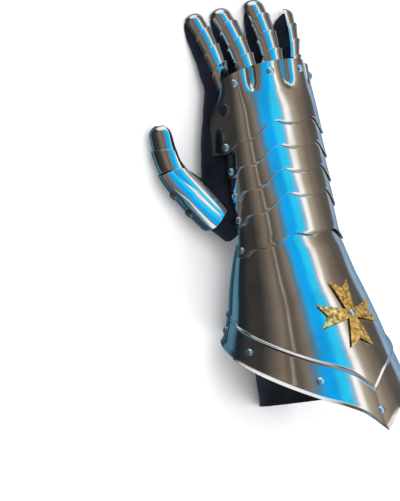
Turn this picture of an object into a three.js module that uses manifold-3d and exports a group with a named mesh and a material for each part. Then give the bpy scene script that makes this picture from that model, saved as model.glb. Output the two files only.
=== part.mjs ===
import * as THREE from 'three';
import { mergeVertices } from 'three/addons/utils/BufferGeometryUtils.js';
import Module from 'manifold-3d';

// Armoured gauntlet for the right hand, lying palm down on its fingertips and cuff.
// Lengths are millimetres and angles degrees. The arm lies along Y with the fingers
// at +Y, the thumb side at -X and the back of the hand at +Z. Turns round the arm
// start at +X and pass over the back of the hand, which is at 90.

const wasm = await Module();
wasm.setup();

// Sheet metal, leather and the spaces between them
const STEEL = 1.2;
const BRASS = 1.0;
const LEATHER = 2;
const CLEARANCE = 0.35;

// Arm and hand inside the plates
const HAND_LENGTH = 158;
const CUFF_LENGTH = 182;
const WRIST_WIDTH = 93;
const WRIST_HEIGHT = 80;
const KNUCKLE_WIDTH = 93.6;
const KNUCKLE_HEIGHT = 62;
const KNUCKLE_SINK = 4;
const MOUTH_WIDTH = 168;
const MOUTH_HEIGHT = 172;
const MOUTH_LIFT = 13;

// Lames of the wrist and their wavy lower edges
const LAME_COUNT = 4;
const LAME_PITCH = 22;
const LAME_OVERLAP = 12;
const LAST_LAME_EXTRA = 12;
const LAME_TURN = 100;
const EAR_DROP = 19;
const EAR_TURN = 92;
const EAR_INSET = 6;
const CUFF_WAVE_SHARE = 0.65;

// Plate over the back of the hand
const KNUCKLE_CROWN = 11.6;
const VALLEY_TURNS = [136, 88, 41];
const VALLEY_DEPTH = 4.5;
const VALLEY_TURN = 6;
const VALLEY_LENGTH = 24;
const FLUTE_DEPTH = 3;
const FLUTE_TURN = 16;
const THUMB_FLARE = 13;
const THUMB_FLARE_TURN = 168;
const THUMB_FLARE_FROM = 0.64;
const THUMB_FLARE_TO = 0.9;
const CORNER_INSET = 10;
const THUMB_CORNER_TURN = 181;
const THUMB_CORNER_SLOPE = 0.8;
const LITTLE_CORNER_TURN = 8;
const LITTLE_CORNER_SLOPE = 1.1;
const THUMB_SIDE_TURN = 115;
const LITTLE_SIDE_TURN = 100;

// Cuff, its border band and its turned lip
const BAND_WIDTH = 38;
const BAND_FLARE = 3;
const RIDGE_RISE = 2;
const RIDGE_REACH = 3;
const LIP_LENGTH = 4;
const LIP_FLARE = 2;
const CUFF_SEAM_TURN = 97.5;
const CUFF_SEAM_LAP = 15;
const CUFF_EASE = 0.4;

// Rivets and the brass cross
const RIVET_RADIUS = 3.6;
const RIVET_RISE = 2.2;
const FLAT_RIVET_RADIUS = 5.8;
const FLAT_RIVET_RISE = 1.4;
const THUMB_RIVET_RADIUS = 4.2;
const CROSS_SPAN = 60;
const CROSS_STATION = 75;
const CROSS_EASE = 1.2;
const KNUCKLE_RIVET_TURNS = [161, 111, 66, 19];
const KNUCKLE_RIVET_INSET = 9;
const SIDE_RIVET_TURN = 181;
const SIDE_RIVET_EASE = 0.3;
const SIDE_RIVET_SHARE = 0.75;
const BAND_RIVET_TURNS = [24, 90, 126, 173, 212];
const THUMB_RIVET_TURN = -46;
const THUMB_RIVET_STOPS = [0.3, 0.62];

// Fingers and thumb
const FINGER_PLATES = 4;
const FINGER_LAP = 5;
const FINGER_ARCH = 4;
const FINGER_REACH = 42;
const PAD_DROP = 37;
const PAD_SHARE = 0.85;
const FINGER_PLATE_TURN = 92;
const FINGER_ROOT_DEPTH = 24;
const FINGER_ROOT_RADIUS = 6;
const GLOVE_EASE = 0.5;
const THUMB_RADIUS = 11;
const THUMB_PLATE_TURN = 78;
const THUMB_BASE_SPREAD = 20;
const THUMB_ROOT_DEPTH = 11;
const THUMB_ROOT_RADIUS = 6;
const FINGER_SEAM = 3;
const THUMB_SEAM = 5;
const CUFF_SEAM_STATION = -5;
const HEM_SEAM_STATION = -66;

// Cloth cuff of the glove
const GLOVE_CUFF_LENGTH = 151;
const HEM_WIDTH = 68;
const PAD_FLATTEN = 1;

const COLOURS = {
	steel: { color: 0x9c958c, roughness: 0.22, metalness: 1 },
	rivet: { color: 0xb9bfc2, roughness: 0.25, metalness: 1 },
	darkRivet: { color: 0x6f6a66, roughness: 0.35, metalness: 1 },
	brass: { color: 0xc79a4b, roughness: 0.3, metalness: 1 },
	leather: { color: 0x101218, roughness: 0.85, metalness: 0 },
};

// Hand sections from wrist to knuckles, as shares of the way between the two. The bulge
// of the palm is a share of the knuckle width.
const HAND_SECTIONS = {
	columns: ['along', 'width', 'height', 'sink', 'bulge'],
	rows: [
		[0, 0, 0, 0, 0],
		[0.2, 0.2, 0.15, 0.3, 0.009],
		[0.4, 0.4, 0.42, 0.7, 0.018],
		[0.7, 0.7, 0.8, 0.9, 0.01],
		[1, 1, 1, 1, 0],
	],
};

// Cuff sections from wrist to the point, as shares of the way between the two
const CUFF_SECTIONS = {
	columns: ['along', 'width', 'height', 'lift'],
	rows: [
		[0, 0, 0, 0],
		[0.19, 0.2, 0.28, 0.03],
		[0.33, 0.36, 0.46, 0.27],
		[0.467, 0.533, 0.61, 0.46],
		[0.637, 0.707, 0.77, 0.69],
		[0.797, 0.84, 0.88, 0.85],
		[1, 1, 1, 1],
	],
};

// Lower edge of a lame: turn from the middle of the back, reach as a share of the ear drop
const WAVE = {
	columns: ['turn', 'reach'],
	rows: [
		[0, 0], [13, 0.1], [26, 0.28], [36, 0.1], [46, -0.27],
		[58, -0.53], [76, -0.55], [84, -0.9], [92, -1], [120, -1],
	],
};

// Mouth of the cuff: turn from the middle of the back, reach as a share of the cuff length
const MOUTH = {
	columns: ['turn', 'reach'],
	rows: [
		[0, 1], [14, 0.9], [40, 0.8], [73, 0.665],
		[104, 0.544], [130, 0.478], [180, 0.44],
	],
};

// Fingers: base of each centre line behind the knuckles and its tip past them, half width
// at the base, share of it left at the tip, roll of the plates towards the little finger,
// and height of the pad above the floor
const FINGER_COLUMNS = [
	'name', 'baseX', 'behind', 'baseZ', 'tipX', 'past', 'radius', 'taper', 'roll', 'lift',
];
const FINGERS = [
	['index', -36.5, 12, -21, -52, 48, 8.4, 0.86, 12, 0.6],
	['middle', -13.5, 8, -12, -20, 50, 9.6, 0.86, 5, 0],
	['ring', 15, 7, -9, 20, 55, 10, 0.84, 10, 0.7],
	['little', 37, 10, -10, 57, 44, 7, 0.86, 58, 5.5],
].map(asRow(FINGER_COLUMNS)).map((finger) => ({
	...finger, baseY: HAND_LENGTH - finger.behind, tipY: HAND_LENGTH + finger.past,
}));

// Thumb centre line from the hand to the tip, with the direction that its plates face
const THUMB_COLUMNS = ['x', 'y', 'z', 'faceX', 'faceY', 'faceZ', 'radius'];
const THUMB = [
	[-36, 10, -27, -0.6, -0.45, 0.65, 1.3],
	[-58, 29, -30, -0.65, -0.42, 0.62, 1.28],
	[-80, 52, -31, -0.72, -0.32, 0.6, 1.18],
	[-95, 71, -32, -0.9, -0.2, 0.3, 1.05],
	[-101, 91, -32, -0.97, -0.1, 0.1, 0.95],
	[-104, 112, -31, -0.97, 0, 0.05, 0.85],
].map(asRow(THUMB_COLUMNS));
const THUMB_TIP_STATIONS = [0.62, 0.81, 1];

// Glove body from the knuckles to the hem: station as a share of the hand or the cloth
// cuff, shift across as a share of the hem width, and half sizes as shares of the arm form
const GLOVE_COLUMNS = ['along', 'shift', 'width', 'rise', 'drop'];
const GLOVE_SECTIONS = [
	[0.9, 0, 0.81, -0.12, 0.68],
	[0.85, 0, 0.9, 0.2, 0.76],
	[0.74, -0.01, 0.91, 0.72, 0.84],
	[0.57, -0.03, 0.89, 1, 0.9],
	[0.32, -0.02, 0.85, 1, 0.94],
	[0.06, 0, 0.84, 0.85, 0.92],
	[-0.13, 0.04, 0.72, 0.54, 0.86],
	[-0.46, 0.12, 0.53, 0.19, 0.8],
	[-0.76, 0.26, 0.47, -0.15, 1.02],
	[-1, 0.4, 0.43, -0.27, 1.13],
].map(asRow(GLOVE_COLUMNS));

const RADIANS = Math.PI / 180;

function asRow(columns) {
	return (values) => Object.fromEntries(columns.map((name, i) => [name, values[i]]));
}

function smooth(from, to, value) {
	const t = Math.min(1, Math.max(0, (value - from) / (to - from)));
	return t * t * (3 - 2 * t);
}

// Value of one column of a table at a place in its first column, on a smooth curve
function follow(table, column, place) {
	const key = table.rows.map((row) => row[0]);
	const at = table.rows.map((row) => row[table.columns.indexOf(column)]);
	const last = key.length - 1;
	const spot = Math.min(key[last], Math.max(key[0], place));
	let i = 0;
	while (i < last - 1 && spot > key[i + 1]) i++;
	const slope = (a, b) => (at[b] - at[a]) / (key[b] - key[a]);
	const bend = (j) => {
		if (j === 0) return slope(0, 1);
		if (j === last) return slope(last - 1, last);
		return slope(j - 1, j) * slope(j, j + 1) <= 0 ? 0 : slope(j - 1, j + 1);
	};
	const span = key[i + 1] - key[i];
	const t = (spot - key[i]) / span;
	const rest = 1 - t;
	return at[i] * (1 + 2 * t) * rest * rest + bend(i) * span * t * rest * rest
		+ at[i + 1] * t * t * (3 - 2 * t) - bend(i + 1) * span * t * t * rest;
}

// Half width, half height and centre height of the arm form at a station
function form(y) {
	const onHand = y > 0;
	const table = onHand ? HAND_SECTIONS : CUFF_SECTIONS;
	const along = onHand ? y / HAND_LENGTH : -y / CUFF_LENGTH;
	const width = onHand ? KNUCKLE_WIDTH : MOUTH_WIDTH;
	const height = onHand ? KNUCKLE_HEIGHT : MOUTH_HEIGHT;
	const bulge = onHand ? KNUCKLE_WIDTH * follow(table, 'bulge', along) : 0;
	return {
		width: (WRIST_WIDTH + (width - WRIST_WIDTH) * follow(table, 'width', along) + bulge) / 2,
		height: (WRIST_HEIGHT + (height - WRIST_HEIGHT) * follow(table, 'height', along)) / 2,
		centre: onHand
			? -KNUCKLE_SINK * follow(table, 'sink', along)
			: MOUTH_LIFT * follow(table, 'lift', along),
	};
}

// Point on the arm form, or out from it along its normal
function skin(turn, y, out) {
	const { width, height, centre } = form(y);
	const across = Math.cos(turn * RADIANS);
	const up = Math.sin(turn * RADIANS);
	const scale = out / Math.hypot(across / width, up / height);
	return new THREE.Vector3(
		across * (width + scale / width),
		y,
		centre + up * (height + scale / height),
	);
}

// Closed body from a list of points and triangles, its faces turned outwards
function body(points, triangles) {
	let volume = 0;
	for (const [a, b, c] of triangles) {
		volume += points[a].dot(new THREE.Vector3().crossVectors(points[b], points[c]));
	}
	const index = triangles.flatMap(([a, b, c]) => (volume > 0 ? [a, b, c] : [a, c, b]));
	const geometry = new THREE.BufferGeometry();
	const values = new Float32Array(points.flatMap((p) => [p.x, p.y, p.z]));
	geometry.setAttribute('position', new THREE.BufferAttribute(values, 3));
	geometry.setIndex(index);
	return geometry;
}

// Bent plate: a grid of points on its outer and inner faces, joined round its edges
function sheet(columns, rows, place) {
	const points = [];
	for (const face of [1, 0]) {
		for (let i = 0; i <= columns; i++) {
			for (let j = 0; j <= rows; j++) points.push(place(i, j, face));
		}
	}
	const inner = points.length / 2;
	const at = (i, j) => i * (rows + 1) + j;
	const triangles = [];
	const quad = (a, b, c, d) => triangles.push([a, b, c], [a, c, d]);
	for (let i = 0; i < columns; i++) {
		for (let j = 0; j < rows; j++) {
			const [a, b, c, d] = [at(i, j), at(i + 1, j), at(i + 1, j + 1), at(i, j + 1)];
			quad(a, b, c, d);
			quad(d + inner, c + inner, b + inner, a + inner);
		}
	}
	const edge = (a, b) => quad(b, a, a + inner, b + inner);
	for (let i = 0; i < columns; i++) {
		edge(at(i, 0), at(i + 1, 0));
		edge(at(i + 1, rows), at(i, rows));
	}
	for (let j = 0; j < rows; j++) {
		edge(at(0, j + 1), at(0, j));
		edge(at(columns, j), at(columns, j + 1));
	}
	return body(points, triangles);
}

// Closed tube through rings of points, with a flat cap at each end
function loft(rings) {
	const sides = rings[0].length;
	const points = rings.flat();
	const triangles = [];
	for (let j = 0; j < rings.length - 1; j++) {
		for (let i = 0; i < sides; i++) {
			const [a, b] = [j * sides + i, j * sides + (i + 1) % sides];
			triangles.push([a, b, b + sides], [a, b + sides, a + sides]);
		}
	}
	const end = (rings.length - 1) * sides;
	for (let i = 1; i < sides - 1; i++) {
		triangles.push([0, i + 1, i], [end, end + i, end + i + 1]);
	}
	return body(points, triangles);
}

function solid(geometry) {
	const bare = geometry.clone();
	bare.deleteAttribute('normal');
	bare.deleteAttribute('uv');
	const merged = mergeVertices(bare, 1e-4);
	return new wasm.Manifold(new wasm.Mesh({
		numProp: 3,
		vertProperties: new Float32Array(merged.attributes.position.array),
		triVerts: new Uint32Array(merged.index.array),
	}));
}

function fromSolid(result) {
	const mesh = result.getMesh();
	const geometry = new THREE.BufferGeometry();
	geometry.setAttribute('position', new THREE.BufferAttribute(mesh.vertProperties, 3));
	geometry.setIndex(new THREE.BufferAttribute(mesh.triVerts, 1));
	return geometry;
}

// Plate steps: each plate rises towards the cuff by its own thickness in one pitch
const STEP_SLOPE = (STEEL + CLEARANCE) / LAME_PITCH;
const FIRST_LINE = LAME_PITCH * LAME_COUNT + LAST_LAME_EXTRA - 2;

// Middle of the lower edge of plate k, where plate 0 covers the back of the hand
function edgeLine(k) {
	const extra = k === LAME_COUNT ? LAST_LAME_EXTRA : 0;
	return FIRST_LINE - k * LAME_PITCH - extra;
}

function lowerEdge(k, turn) {
	const share = k === LAME_COUNT ? CUFF_WAVE_SHARE : 1;
	return edgeLine(k) + follow(WAVE, 'reach', Math.abs(turn - 90)) * EAR_DROP * share;
}

function stepOut(k, y) {
	return STEP_SLOPE * (FIRST_LINE + LAME_OVERLAP - (k - 1) * LAME_PITCH - y);
}

// Wrist lame
function lame(k) {
	const columns = 30;
	const rows = k === LAME_COUNT ? 4 : 2;
	return sheet(columns, rows, (i, j, face) => {
		const turn = 90 - LAME_TURN + (2 * LAME_TURN * i) / columns;
		const front = lowerEdge(k - 1, turn) + LAME_OVERLAP;
		const y = front + (lowerEdge(k, turn) - front) * (j / rows);
		return skin(turn, y, stepOut(k, y) + face * STEEL);
	});
}

// Back of the hand: knuckle lobes, valleys between them and a flare over the thumb
function handOut(turn, y) {
	const step = Math.max(0, stepOut(0, y));
	const fluteStart = FIRST_LINE + LAME_OVERLAP + 4;
	let out = step;
	for (const valley of VALLEY_TURNS) {
		const near = (turn - valley) / VALLEY_TURN;
		const wide = (turn - valley) / FLUTE_TURN;
		const start = HAND_LENGTH - VALLEY_LENGTH;
		out -= VALLEY_DEPTH * Math.exp(-near * near) * smooth(start - 4, start + 8, y);
		out -= FLUTE_DEPTH * Math.exp(-wide * wide) * smooth(fluteStart, HAND_LENGTH, y);
	}
	const along = 1 - smooth(HAND_LENGTH * THUMB_FLARE_FROM, HAND_LENGTH * THUMB_FLARE_TO, y);
	const side = Math.max(0, turn - THUMB_FLARE_TURN) / (90 + THUMB_SIDE_TURN - THUMB_FLARE_TURN);
	return out + THUMB_FLARE * side * side * along;
}

function knuckleEdge(turn) {
	const crown = HAND_LENGTH - KNUCKLE_CROWN * (1 - Math.sin(turn * RADIANS));
	const thumbCorner = HAND_LENGTH - CORNER_INSET - THUMB_CORNER_SLOPE * (turn - THUMB_CORNER_TURN);
	const littleCorner = HAND_LENGTH - CORNER_INSET + LITTLE_CORNER_SLOPE * (turn - LITTLE_CORNER_TURN);
	return Math.min(crown, thumbCorner, littleCorner);
}

function handPlate() {
	const columns = 40;
	const shares = [0, 0.07, 0.15, 0.24, 0.36, 0.52, 0.76, 1];
	return sheet(columns, shares.length - 1, (i, j, face) => {
		const turn = 90 - LITTLE_SIDE_TURN
			+ ((LITTLE_SIDE_TURN + THUMB_SIDE_TURN) * i) / columns;
		const front = knuckleEdge(turn);
		const y = front + (lowerEdge(0, turn) - front) * shares[j];
		return skin(turn, y, handOut(turn, y) + face * STEEL);
	});
}

// Cuff: main plate over the back, under plate tucked inside it on the palm side
function mouth(turn) {
	const away = Math.abs(((turn - 90 + 540) % 360) - 180);
	return -CUFF_LENGTH * follow(MOUTH, 'reach', away);
}

function bandWidth(turn) {
	const away = Math.abs(((turn - 90 + 540) % 360) - 180);
	return BAND_WIDTH * (1 - away / 360);
}

function cuffOut(turn, y) {
	const base = STEP_SLOPE * (LAME_PITCH - Math.max(y, -LAME_OVERLAP)) - CUFF_EASE;
	const end = mouth(turn);
	const ridge = end + bandWidth(turn);
	const rise = RIDGE_RISE * Math.max(0, 1 - Math.abs(y - ridge) / RIDGE_REACH);
	const flare = BAND_FLARE * Math.max(0, (ridge - y) / bandWidth(turn));
	const lip = LIP_FLARE * Math.max(0, (end + LIP_LENGTH - y) / LIP_LENGTH);
	return base + rise + flare + lip;
}

function cuffStations(turn, front) {
	const end = mouth(turn);
	const ridge = end + bandWidth(turn);
	const neck = ridge + RIDGE_REACH;
	const main = [0, 0.06, 0.13, 0.24, 0.42, 0.62, 0.82, 1].map((t) => front + (neck - front) * t);
	const low = ridge - RIDGE_REACH;
	const lip = end + LIP_LENGTH;
	return [...main, ridge, low, (low + lip) / 2, lip, end];
}

function cuffPlate(firstTurn, lastTurn, inset, frontEdge) {
	const columns = Math.round((lastTurn - firstTurn) / 7.5);
	const rows = cuffStations(90, 0).length - 1;
	return sheet(columns, rows, (i, j, face) => {
		const turn = firstTurn + ((lastTurn - firstTurn) * i) / columns;
		const y = cuffStations(turn, frontEdge(turn))[j];
		return skin(turn, y, cuffOut(turn, y) - inset + face * STEEL);
	});
}

const CUFF_FRONT = edgeLine(LAME_COUNT) + LAME_OVERLAP;

function cuffMain() {
	return cuffPlate(90 - CUFF_SEAM_TURN, 90 + CUFF_SEAM_TURN, 0,
		(turn) => lowerEdge(LAME_COUNT, turn) + LAME_OVERLAP);
}

function cuffUnder() {
	const front = CUFF_FRONT - EAR_DROP * CUFF_WAVE_SHARE;
	return cuffPlate(90 + CUFF_SEAM_TURN - CUFF_SEAM_LAP, 450 - CUFF_SEAM_TURN + CUFF_SEAM_LAP,
		STEEL + CLEARANCE, () => front);
}

// Floor under the resting gauntlet: it passes under the rim of the cuff and the fingertips
const RIM = skin(270, mouth(270), cuffOut(270, mouth(270)) - CLEARANCE);
const PAD = new THREE.Vector3(0, HAND_LENGTH + FINGER_REACH, -PAD_DROP);
const REST_TILT = Math.atan2(PAD.z - RIM.z, PAD.y - RIM.y);

function floorHeight(y) {
	return RIM.z + (y - RIM.y) * Math.tan(REST_TILT);
}

function aboveFloor(shape, height) {
	const slab = new THREE.BoxGeometry(800, 1200, 200);
	slab.translate(0, 0, -100 + height);
	slab.rotateX(REST_TILT);
	slab.translate(0, RIM.y, RIM.z);
	return shape.subtract(solid(slab));
}

// Ring round a centre line: turn 90 is the side that the plates face
function ring(centre, along, face, radii, sides) {
	const side = new THREE.Vector3().crossVectors(along, face).normalize();
	const up = new THREE.Vector3().crossVectors(side, along).normalize();
	return Array.from({ length: sides }, (_, i) => {
		const turn = (i / sides) * Math.PI * 2;
		return centre.clone()
			.addScaledVector(side, Math.cos(turn) * radii[0])
			.addScaledVector(up, Math.sin(turn) * radii[1]);
	});
}

// Height of the end of a finger's centre line, where its pad is pressed on the floor
function tipHeight(finger) {
	const t = PAD_SHARE;
	const radius = finger.radius * (1 - (1 - finger.taper) * t) - GLOVE_EASE;
	const y = finger.baseY + (finger.tipY - finger.baseY) * t;
	const pad = floorHeight(y) + radius - PAD_FLATTEN + finger.lift;
	return (pad - (1 - t) * finger.baseZ) / t - 4 * FINGER_ARCH * (1 - t);
}

// Centre line of a finger: straight, with its middle raised a little
function fingerLine(finger) {
	const base = new THREE.Vector3(finger.baseX, finger.baseY, finger.baseZ);
	const tip = new THREE.Vector3(finger.tipX, finger.tipY, tipHeight(finger));
	const middle = base.clone().lerp(tip, 0.5);
	middle.z += FINGER_ARCH * 2;
	return new THREE.QuadraticBezierCurve3(base, middle, tip);
}

function fingerFace(finger) {
	return new THREE.Vector3(Math.sin(finger.roll * RADIANS), 0, Math.cos(finger.roll * RADIANS));
}

// Radius along a finger, rounded off at its tip
function fingerRadius(finger, share, length) {
	const full = finger.radius * (1 - (1 - finger.taper) * share);
	const left = (1 - share) * length / full;
	return left >= 1 ? full : full * Math.sqrt(Math.max(0.02, 1 - (1 - left) * (1 - left)));
}

function arcPoint(centre, along, face, turn, radius) {
	const side = new THREE.Vector3().crossVectors(along, face).normalize();
	const up = new THREE.Vector3().crossVectors(side, along).normalize();
	return centre.clone()
		.addScaledVector(side, Math.sin(turn * RADIANS) * radius)
		.addScaledVector(up, Math.cos(turn * RADIANS) * radius);
}

// One of the half tubes over a finger: each lies over the next one towards the tip
function fingerPlate(finger, k) {
	const line = fingerLine(finger);
	const face = fingerFace(finger);
	const length = line.getLength();
	const pitch = length / FINGER_PLATES;
	const isTip = k === FINGER_PLATES - 1;
	const from = (k * pitch - (k ? FINGER_LAP : 0)) / length;
	const to = (k + 1) / FINGER_PLATES;
	const stops = isTip ? [0, 0.5, 0.74, 0.88, 0.97] : [0, 0.5, 1];
	const columns = 8;
	return sheet(columns, stops.length - 1, (i, j, out) => {
		const share = from + (to - from) * stops[j];
		const turn = -FINGER_PLATE_TURN + (2 * FINGER_PLATE_TURN * i) / columns;
		const rise = ((STEEL + CLEARANCE) * (share * length - k * pitch + FINGER_LAP)) / pitch;
		const radius = fingerRadius(finger, share, length) + rise + out * STEEL;
		return arcPoint(line.getPoint(share), line.getTangent(share), face, turn, radius);
	});
}

// Leather of one finger, outside or inside its wall
function fingerSleeve(finger, inset) {
	const line = fingerLine(finger);
	const face = fingerFace(finger);
	const length = line.getLength();
	const rings = [];
	const root = line.getPoint(0).addScaledVector(line.getTangent(0), inset - FINGER_ROOT_DEPTH);
	const rootRadius = FINGER_ROOT_RADIUS - inset;
	rings.push(ring(root, line.getTangent(0), face, [rootRadius, rootRadius], 8));
	const end = 1 - inset / length;
	for (const share of [0, 0.35, 0.65, 0.86, 0.95, 1]) {
		const radius = fingerRadius(finger, Math.min(share, 0.995), length) - GLOVE_EASE - inset;
		const size = Math.max(radius, 1);
		rings.push(ring(line.getPoint(share * end), line.getTangent(share), face, [size, size], 8));
	}
	return loft(rings);
}

// Thumb: a curve through its table, with the facing direction turning along it
const THUMB_LINE = new THREE.CatmullRomCurve3(
	THUMB.map((row) => new THREE.Vector3(row.x, row.y, row.z)),
);

function thumbAt(share) {
	const spot = share * (THUMB.length - 1);
	const i = Math.min(THUMB.length - 2, Math.floor(spot));
	const mix = (name) => THUMB[i][name] + (THUMB[i + 1][name] - THUMB[i][name]) * (spot - i);
	return {
		centre: THUMB_LINE.getPoint(share),
		along: THUMB_LINE.getTangent(share),
		face: new THREE.Vector3(mix('faceX'), mix('faceY'), mix('faceZ')).normalize(),
		radius: mix('radius') * THUMB_RADIUS,
	};
}

function thumbEnd(share) {
	const left = (1 - share) * THUMB_LINE.getLength() / THUMB_RADIUS;
	return left >= 1 ? 1 : Math.sqrt(Math.max(0.03, 1 - (1 - left) * (1 - left)));
}

// Half tube over the outer joints of the thumb
function thumbPlate(k) {
	const from = THUMB_TIP_STATIONS[k] - (k ? 0.03 : 0.02);
	const to = THUMB_TIP_STATIONS[k + 1];
	const stops = k ? [0, 0.45, 0.72, 0.88, 0.97] : [0, 0.5, 1];
	const columns = 8;
	return sheet(columns, stops.length - 1, (i, j, out) => {
		const share = from + (to - from) * stops[j];
		const { centre, along, face, radius } = thumbAt(share);
		const turn = -THUMB_PLATE_TURN + (2 * THUMB_PLATE_TURN * i) / columns;
		const rise = (STEEL + CLEARANCE) * (k ? stops[j] : stops[j] * 1.15);
		return arcPoint(centre, along, face, turn, radius * thumbEnd(share) + rise + out * STEEL);
	});
}

// Roof-shaped plate over the root of the thumb, with one ridge and two flat flanks
const THUMB_BASE_FROM = 0.17;
const THUMB_BASE_TO = 0.63;
const ROOF_RISE = 5.2;

function thumbBaseOut(turn, stop) {
	const ridge = Math.max(0, 1 - Math.abs(turn) / 34);
	return 1.2 * (STEEL + CLEARANCE) + ROOF_RISE * ridge * (0.5 + 0.5 * stop);
}

function thumbBasePoint(turn, stop, out) {
	const share = THUMB_BASE_FROM + (THUMB_BASE_TO - THUMB_BASE_FROM) * stop;
	const { centre, along, face, radius } = thumbAt(share);
	return arcPoint(centre, along, face, turn, radius + thumbBaseOut(turn, stop) + out);
}

function thumbBase() {
	const columns = 10;
	const stops = [0, 0.25, 0.5, 0.75, 1];
	return sheet(columns, stops.length - 1, (i, j, out) => {
		const spread = THUMB_PLATE_TURN + THUMB_BASE_SPREAD * (1 - stops[j]);
		const turn = -THUMB_PLATE_TURN + ((THUMB_PLATE_TURN + spread) * i) / columns;
		return thumbBasePoint(turn, stops[j], out * STEEL);
	});
}

function thumbSleeve(inset) {
	const end = 1 - inset / THUMB_LINE.getLength();
	const start = thumbAt(0);
	const root = start.centre.clone().addScaledVector(start.along, inset - THUMB_ROOT_DEPTH);
	const rootRadius = THUMB_ROOT_RADIUS - inset;
	const rings = [ring(root, start.along, start.face, [rootRadius, rootRadius], 10)];
	for (const share of [0, 0.2, 0.4, 0.6, 0.8, 0.92, 0.98, 1]) {
		const { centre, along, face, radius } = thumbAt(share * end);
		const size = Math.max(1, radius * thumbEnd(Math.min(share, 0.99)) - GLOVE_EASE - inset);
		rings.push(ring(centre, along, face, [size, size], 10));
	}
	return loft(rings);
}

// Space between two corners, as a solid that cuts the glove at its seams
function space(low, high) {
	const size = high.clone().sub(low);
	const box = new THREE.BoxGeometry(size.x, size.y, size.z);
	const centre = low.clone().add(high).multiplyScalar(0.5);
	return solid(box.translate(centre.x, centre.y, centre.z));
}

// Glove: one hollow wall, sewn from a hand, four fingers, a thumb and a cloth cuff
function gloveBody(inset) {
	const axis = new THREE.Vector3(0, 1, 0);
	const face = new THREE.Vector3(0, 0, 1);
	const last = GLOVE_SECTIONS.length - 1;
	return loft(GLOVE_SECTIONS.map((row, i) => {
		const y = row.along * (row.along > 0 ? HAND_LENGTH : GLOVE_CUFF_LENGTH);
		const at = form(y);
		const top = at.centre + row.rise * (at.height - GLOVE_EASE);
		const bottom = at.centre - row.drop * at.height;
		const past = i === 0 ? -inset : i === last ? -inset * 3 : 0;
		const centre = new THREE.Vector3(row.shift * HEM_WIDTH, y + past, (top + bottom) / 2);
		const radii = [row.width * at.width - inset, (top - bottom) / 2 - inset];
		return ring(centre, axis, face, radii, 20);
	}));
}

function gloveWall() {
	const layer = (inset) => {
		const pieces = [gloveBody(inset), thumbSleeve(inset), ...FINGERS.map((f) => fingerSleeve(f, inset))];
		const joined = pieces.map(solid).reduce((sum, piece) => sum.add(piece));
		return aboveFloor(joined, inset);
	};
	return layer(0).subtract(layer(LEATHER));
}

function glovePieces() {
	const wall = gloveWall();
	const far = new THREE.Vector3(1, 1, 1).multiplyScalar(2 * (HAND_LENGTH + CUFF_LENGTH));
	const near = far.clone().negate();
	const fingerSeam = HAND_LENGTH * GLOVE_SECTIONS[0].along + FINGER_SEAM;
	const thumbSeam = -WRIST_WIDTH / 2 - THUMB_SEAM;
	const past = CLEARANCE / 2;
	const cut = (low, high) => wall.intersect(space(near.clone().max(low), far.clone().min(high)));
	const corner = (x, y) => new THREE.Vector3(x, y, -Infinity);
	const end = (x, y) => new THREE.Vector3(x, y, Infinity);
	const fingers = cut(corner(-Infinity, fingerSeam + past), far).decompose()
		.map((piece) => ({ piece, x: piece.boundingBox().min[0] }))
		.sort((a, b) => a.x - b.x);
	return {
		fingers: fingers.map(({ piece }) => piece),
		thumb: cut(corner(-Infinity, CUFF_SEAM_STATION + past), end(thumbSeam - past, fingerSeam - past)),
		hand: cut(corner(thumbSeam + past, CUFF_SEAM_STATION + past), end(Infinity, fingerSeam - past)),
		cuff: cut(corner(-Infinity, HEM_SEAM_STATION + past), end(Infinity, CUFF_SEAM_STATION - past)),
		hem: cut(near, end(Infinity, HEM_SEAM_STATION - past)),
	};
}

// Rivet head with its flat underside facing a surface
function rivetHead(radius, rise, flat) {
	const profile = flat
		? [[0, 0], [radius, 0], [radius * 0.9, rise], [0, rise]]
		: [[0, 0], [radius, 0], [radius * 0.75, rise * 0.7], [0, rise]];
	const lathe = new THREE.LatheGeometry(profile.map(([x, y]) => new THREE.Vector2(x, y)), 8);
	return lathe.rotateX(Math.PI / 2);
}

// Place on a plate and the direction out from it, from its surface as a function
function seat(surface, turn, station, step = 1) {
	const at = surface(turn, station);
	const round = surface(turn + 2, station).sub(surface(turn - 2, station));
	const along = surface(turn, station + step).sub(surface(turn, station - step));
	const normal = new THREE.Vector3().crossVectors(round, along).normalize();
	const out = surface(turn, station, 1).sub(at);
	return { at, normal: normal.multiplyScalar(Math.sign(normal.dot(out))) };
}

const SEAT = STEEL + CLEARANCE;
const handFace = (turn, y, out = 0) => skin(turn, y, handOut(turn, y) + SEAT + out);
const sideSeat = (turn, y, out = 0) => handFace(turn, y, out + SIDE_RIVET_EASE);
const cuffFace = (turn, y, out = 0) => skin(turn, y, cuffOut(turn, y) + SEAT + out);
const underFace = (turn, y, out = 0) => cuffFace(turn, y, out - SEAT);
const crossSeat = (turn, y, out = 0) => cuffFace(turn, y, out + CROSS_EASE);
const crossFace = (turn, y, out = 0) => crossSeat(turn, y, out + BRASS + CLEARANCE);
const lameFace = (k) => (turn, y, out = 0) => skin(turn, y, stepOut(k, y) + SEAT + out);
const thumbFace = (turn, stop, out = 0) => thumbBasePoint(turn, stop, SEAT + out);

const gauntlet = new THREE.Group();

function add(name, geometry, finish) {
	const mesh = new THREE.Mesh(geometry, new THREE.MeshStandardMaterial(COLOURS[finish]));
	mesh.name = name;
	gauntlet.add(mesh);
	return mesh;
}

function addRivet(name, place, options = {}) {
	const { finish = 'rivet', radius = RIVET_RADIUS, rise = RIVET_RISE, flat = false } = options;
	const mesh = add(name, rivetHead(radius, rise, flat), finish);
	mesh.position.copy(place.at);
	mesh.quaternion.setFromUnitVectors(new THREE.Vector3(0, 0, 1), place.normal);
}

// Brass cross with four forked arms, bent to the cuff: one arm's corners as shares
const CROSS_ARM = [[0.13, 0.13], [1, 0.36], [0.76, 0], [1, -0.36]];

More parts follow.
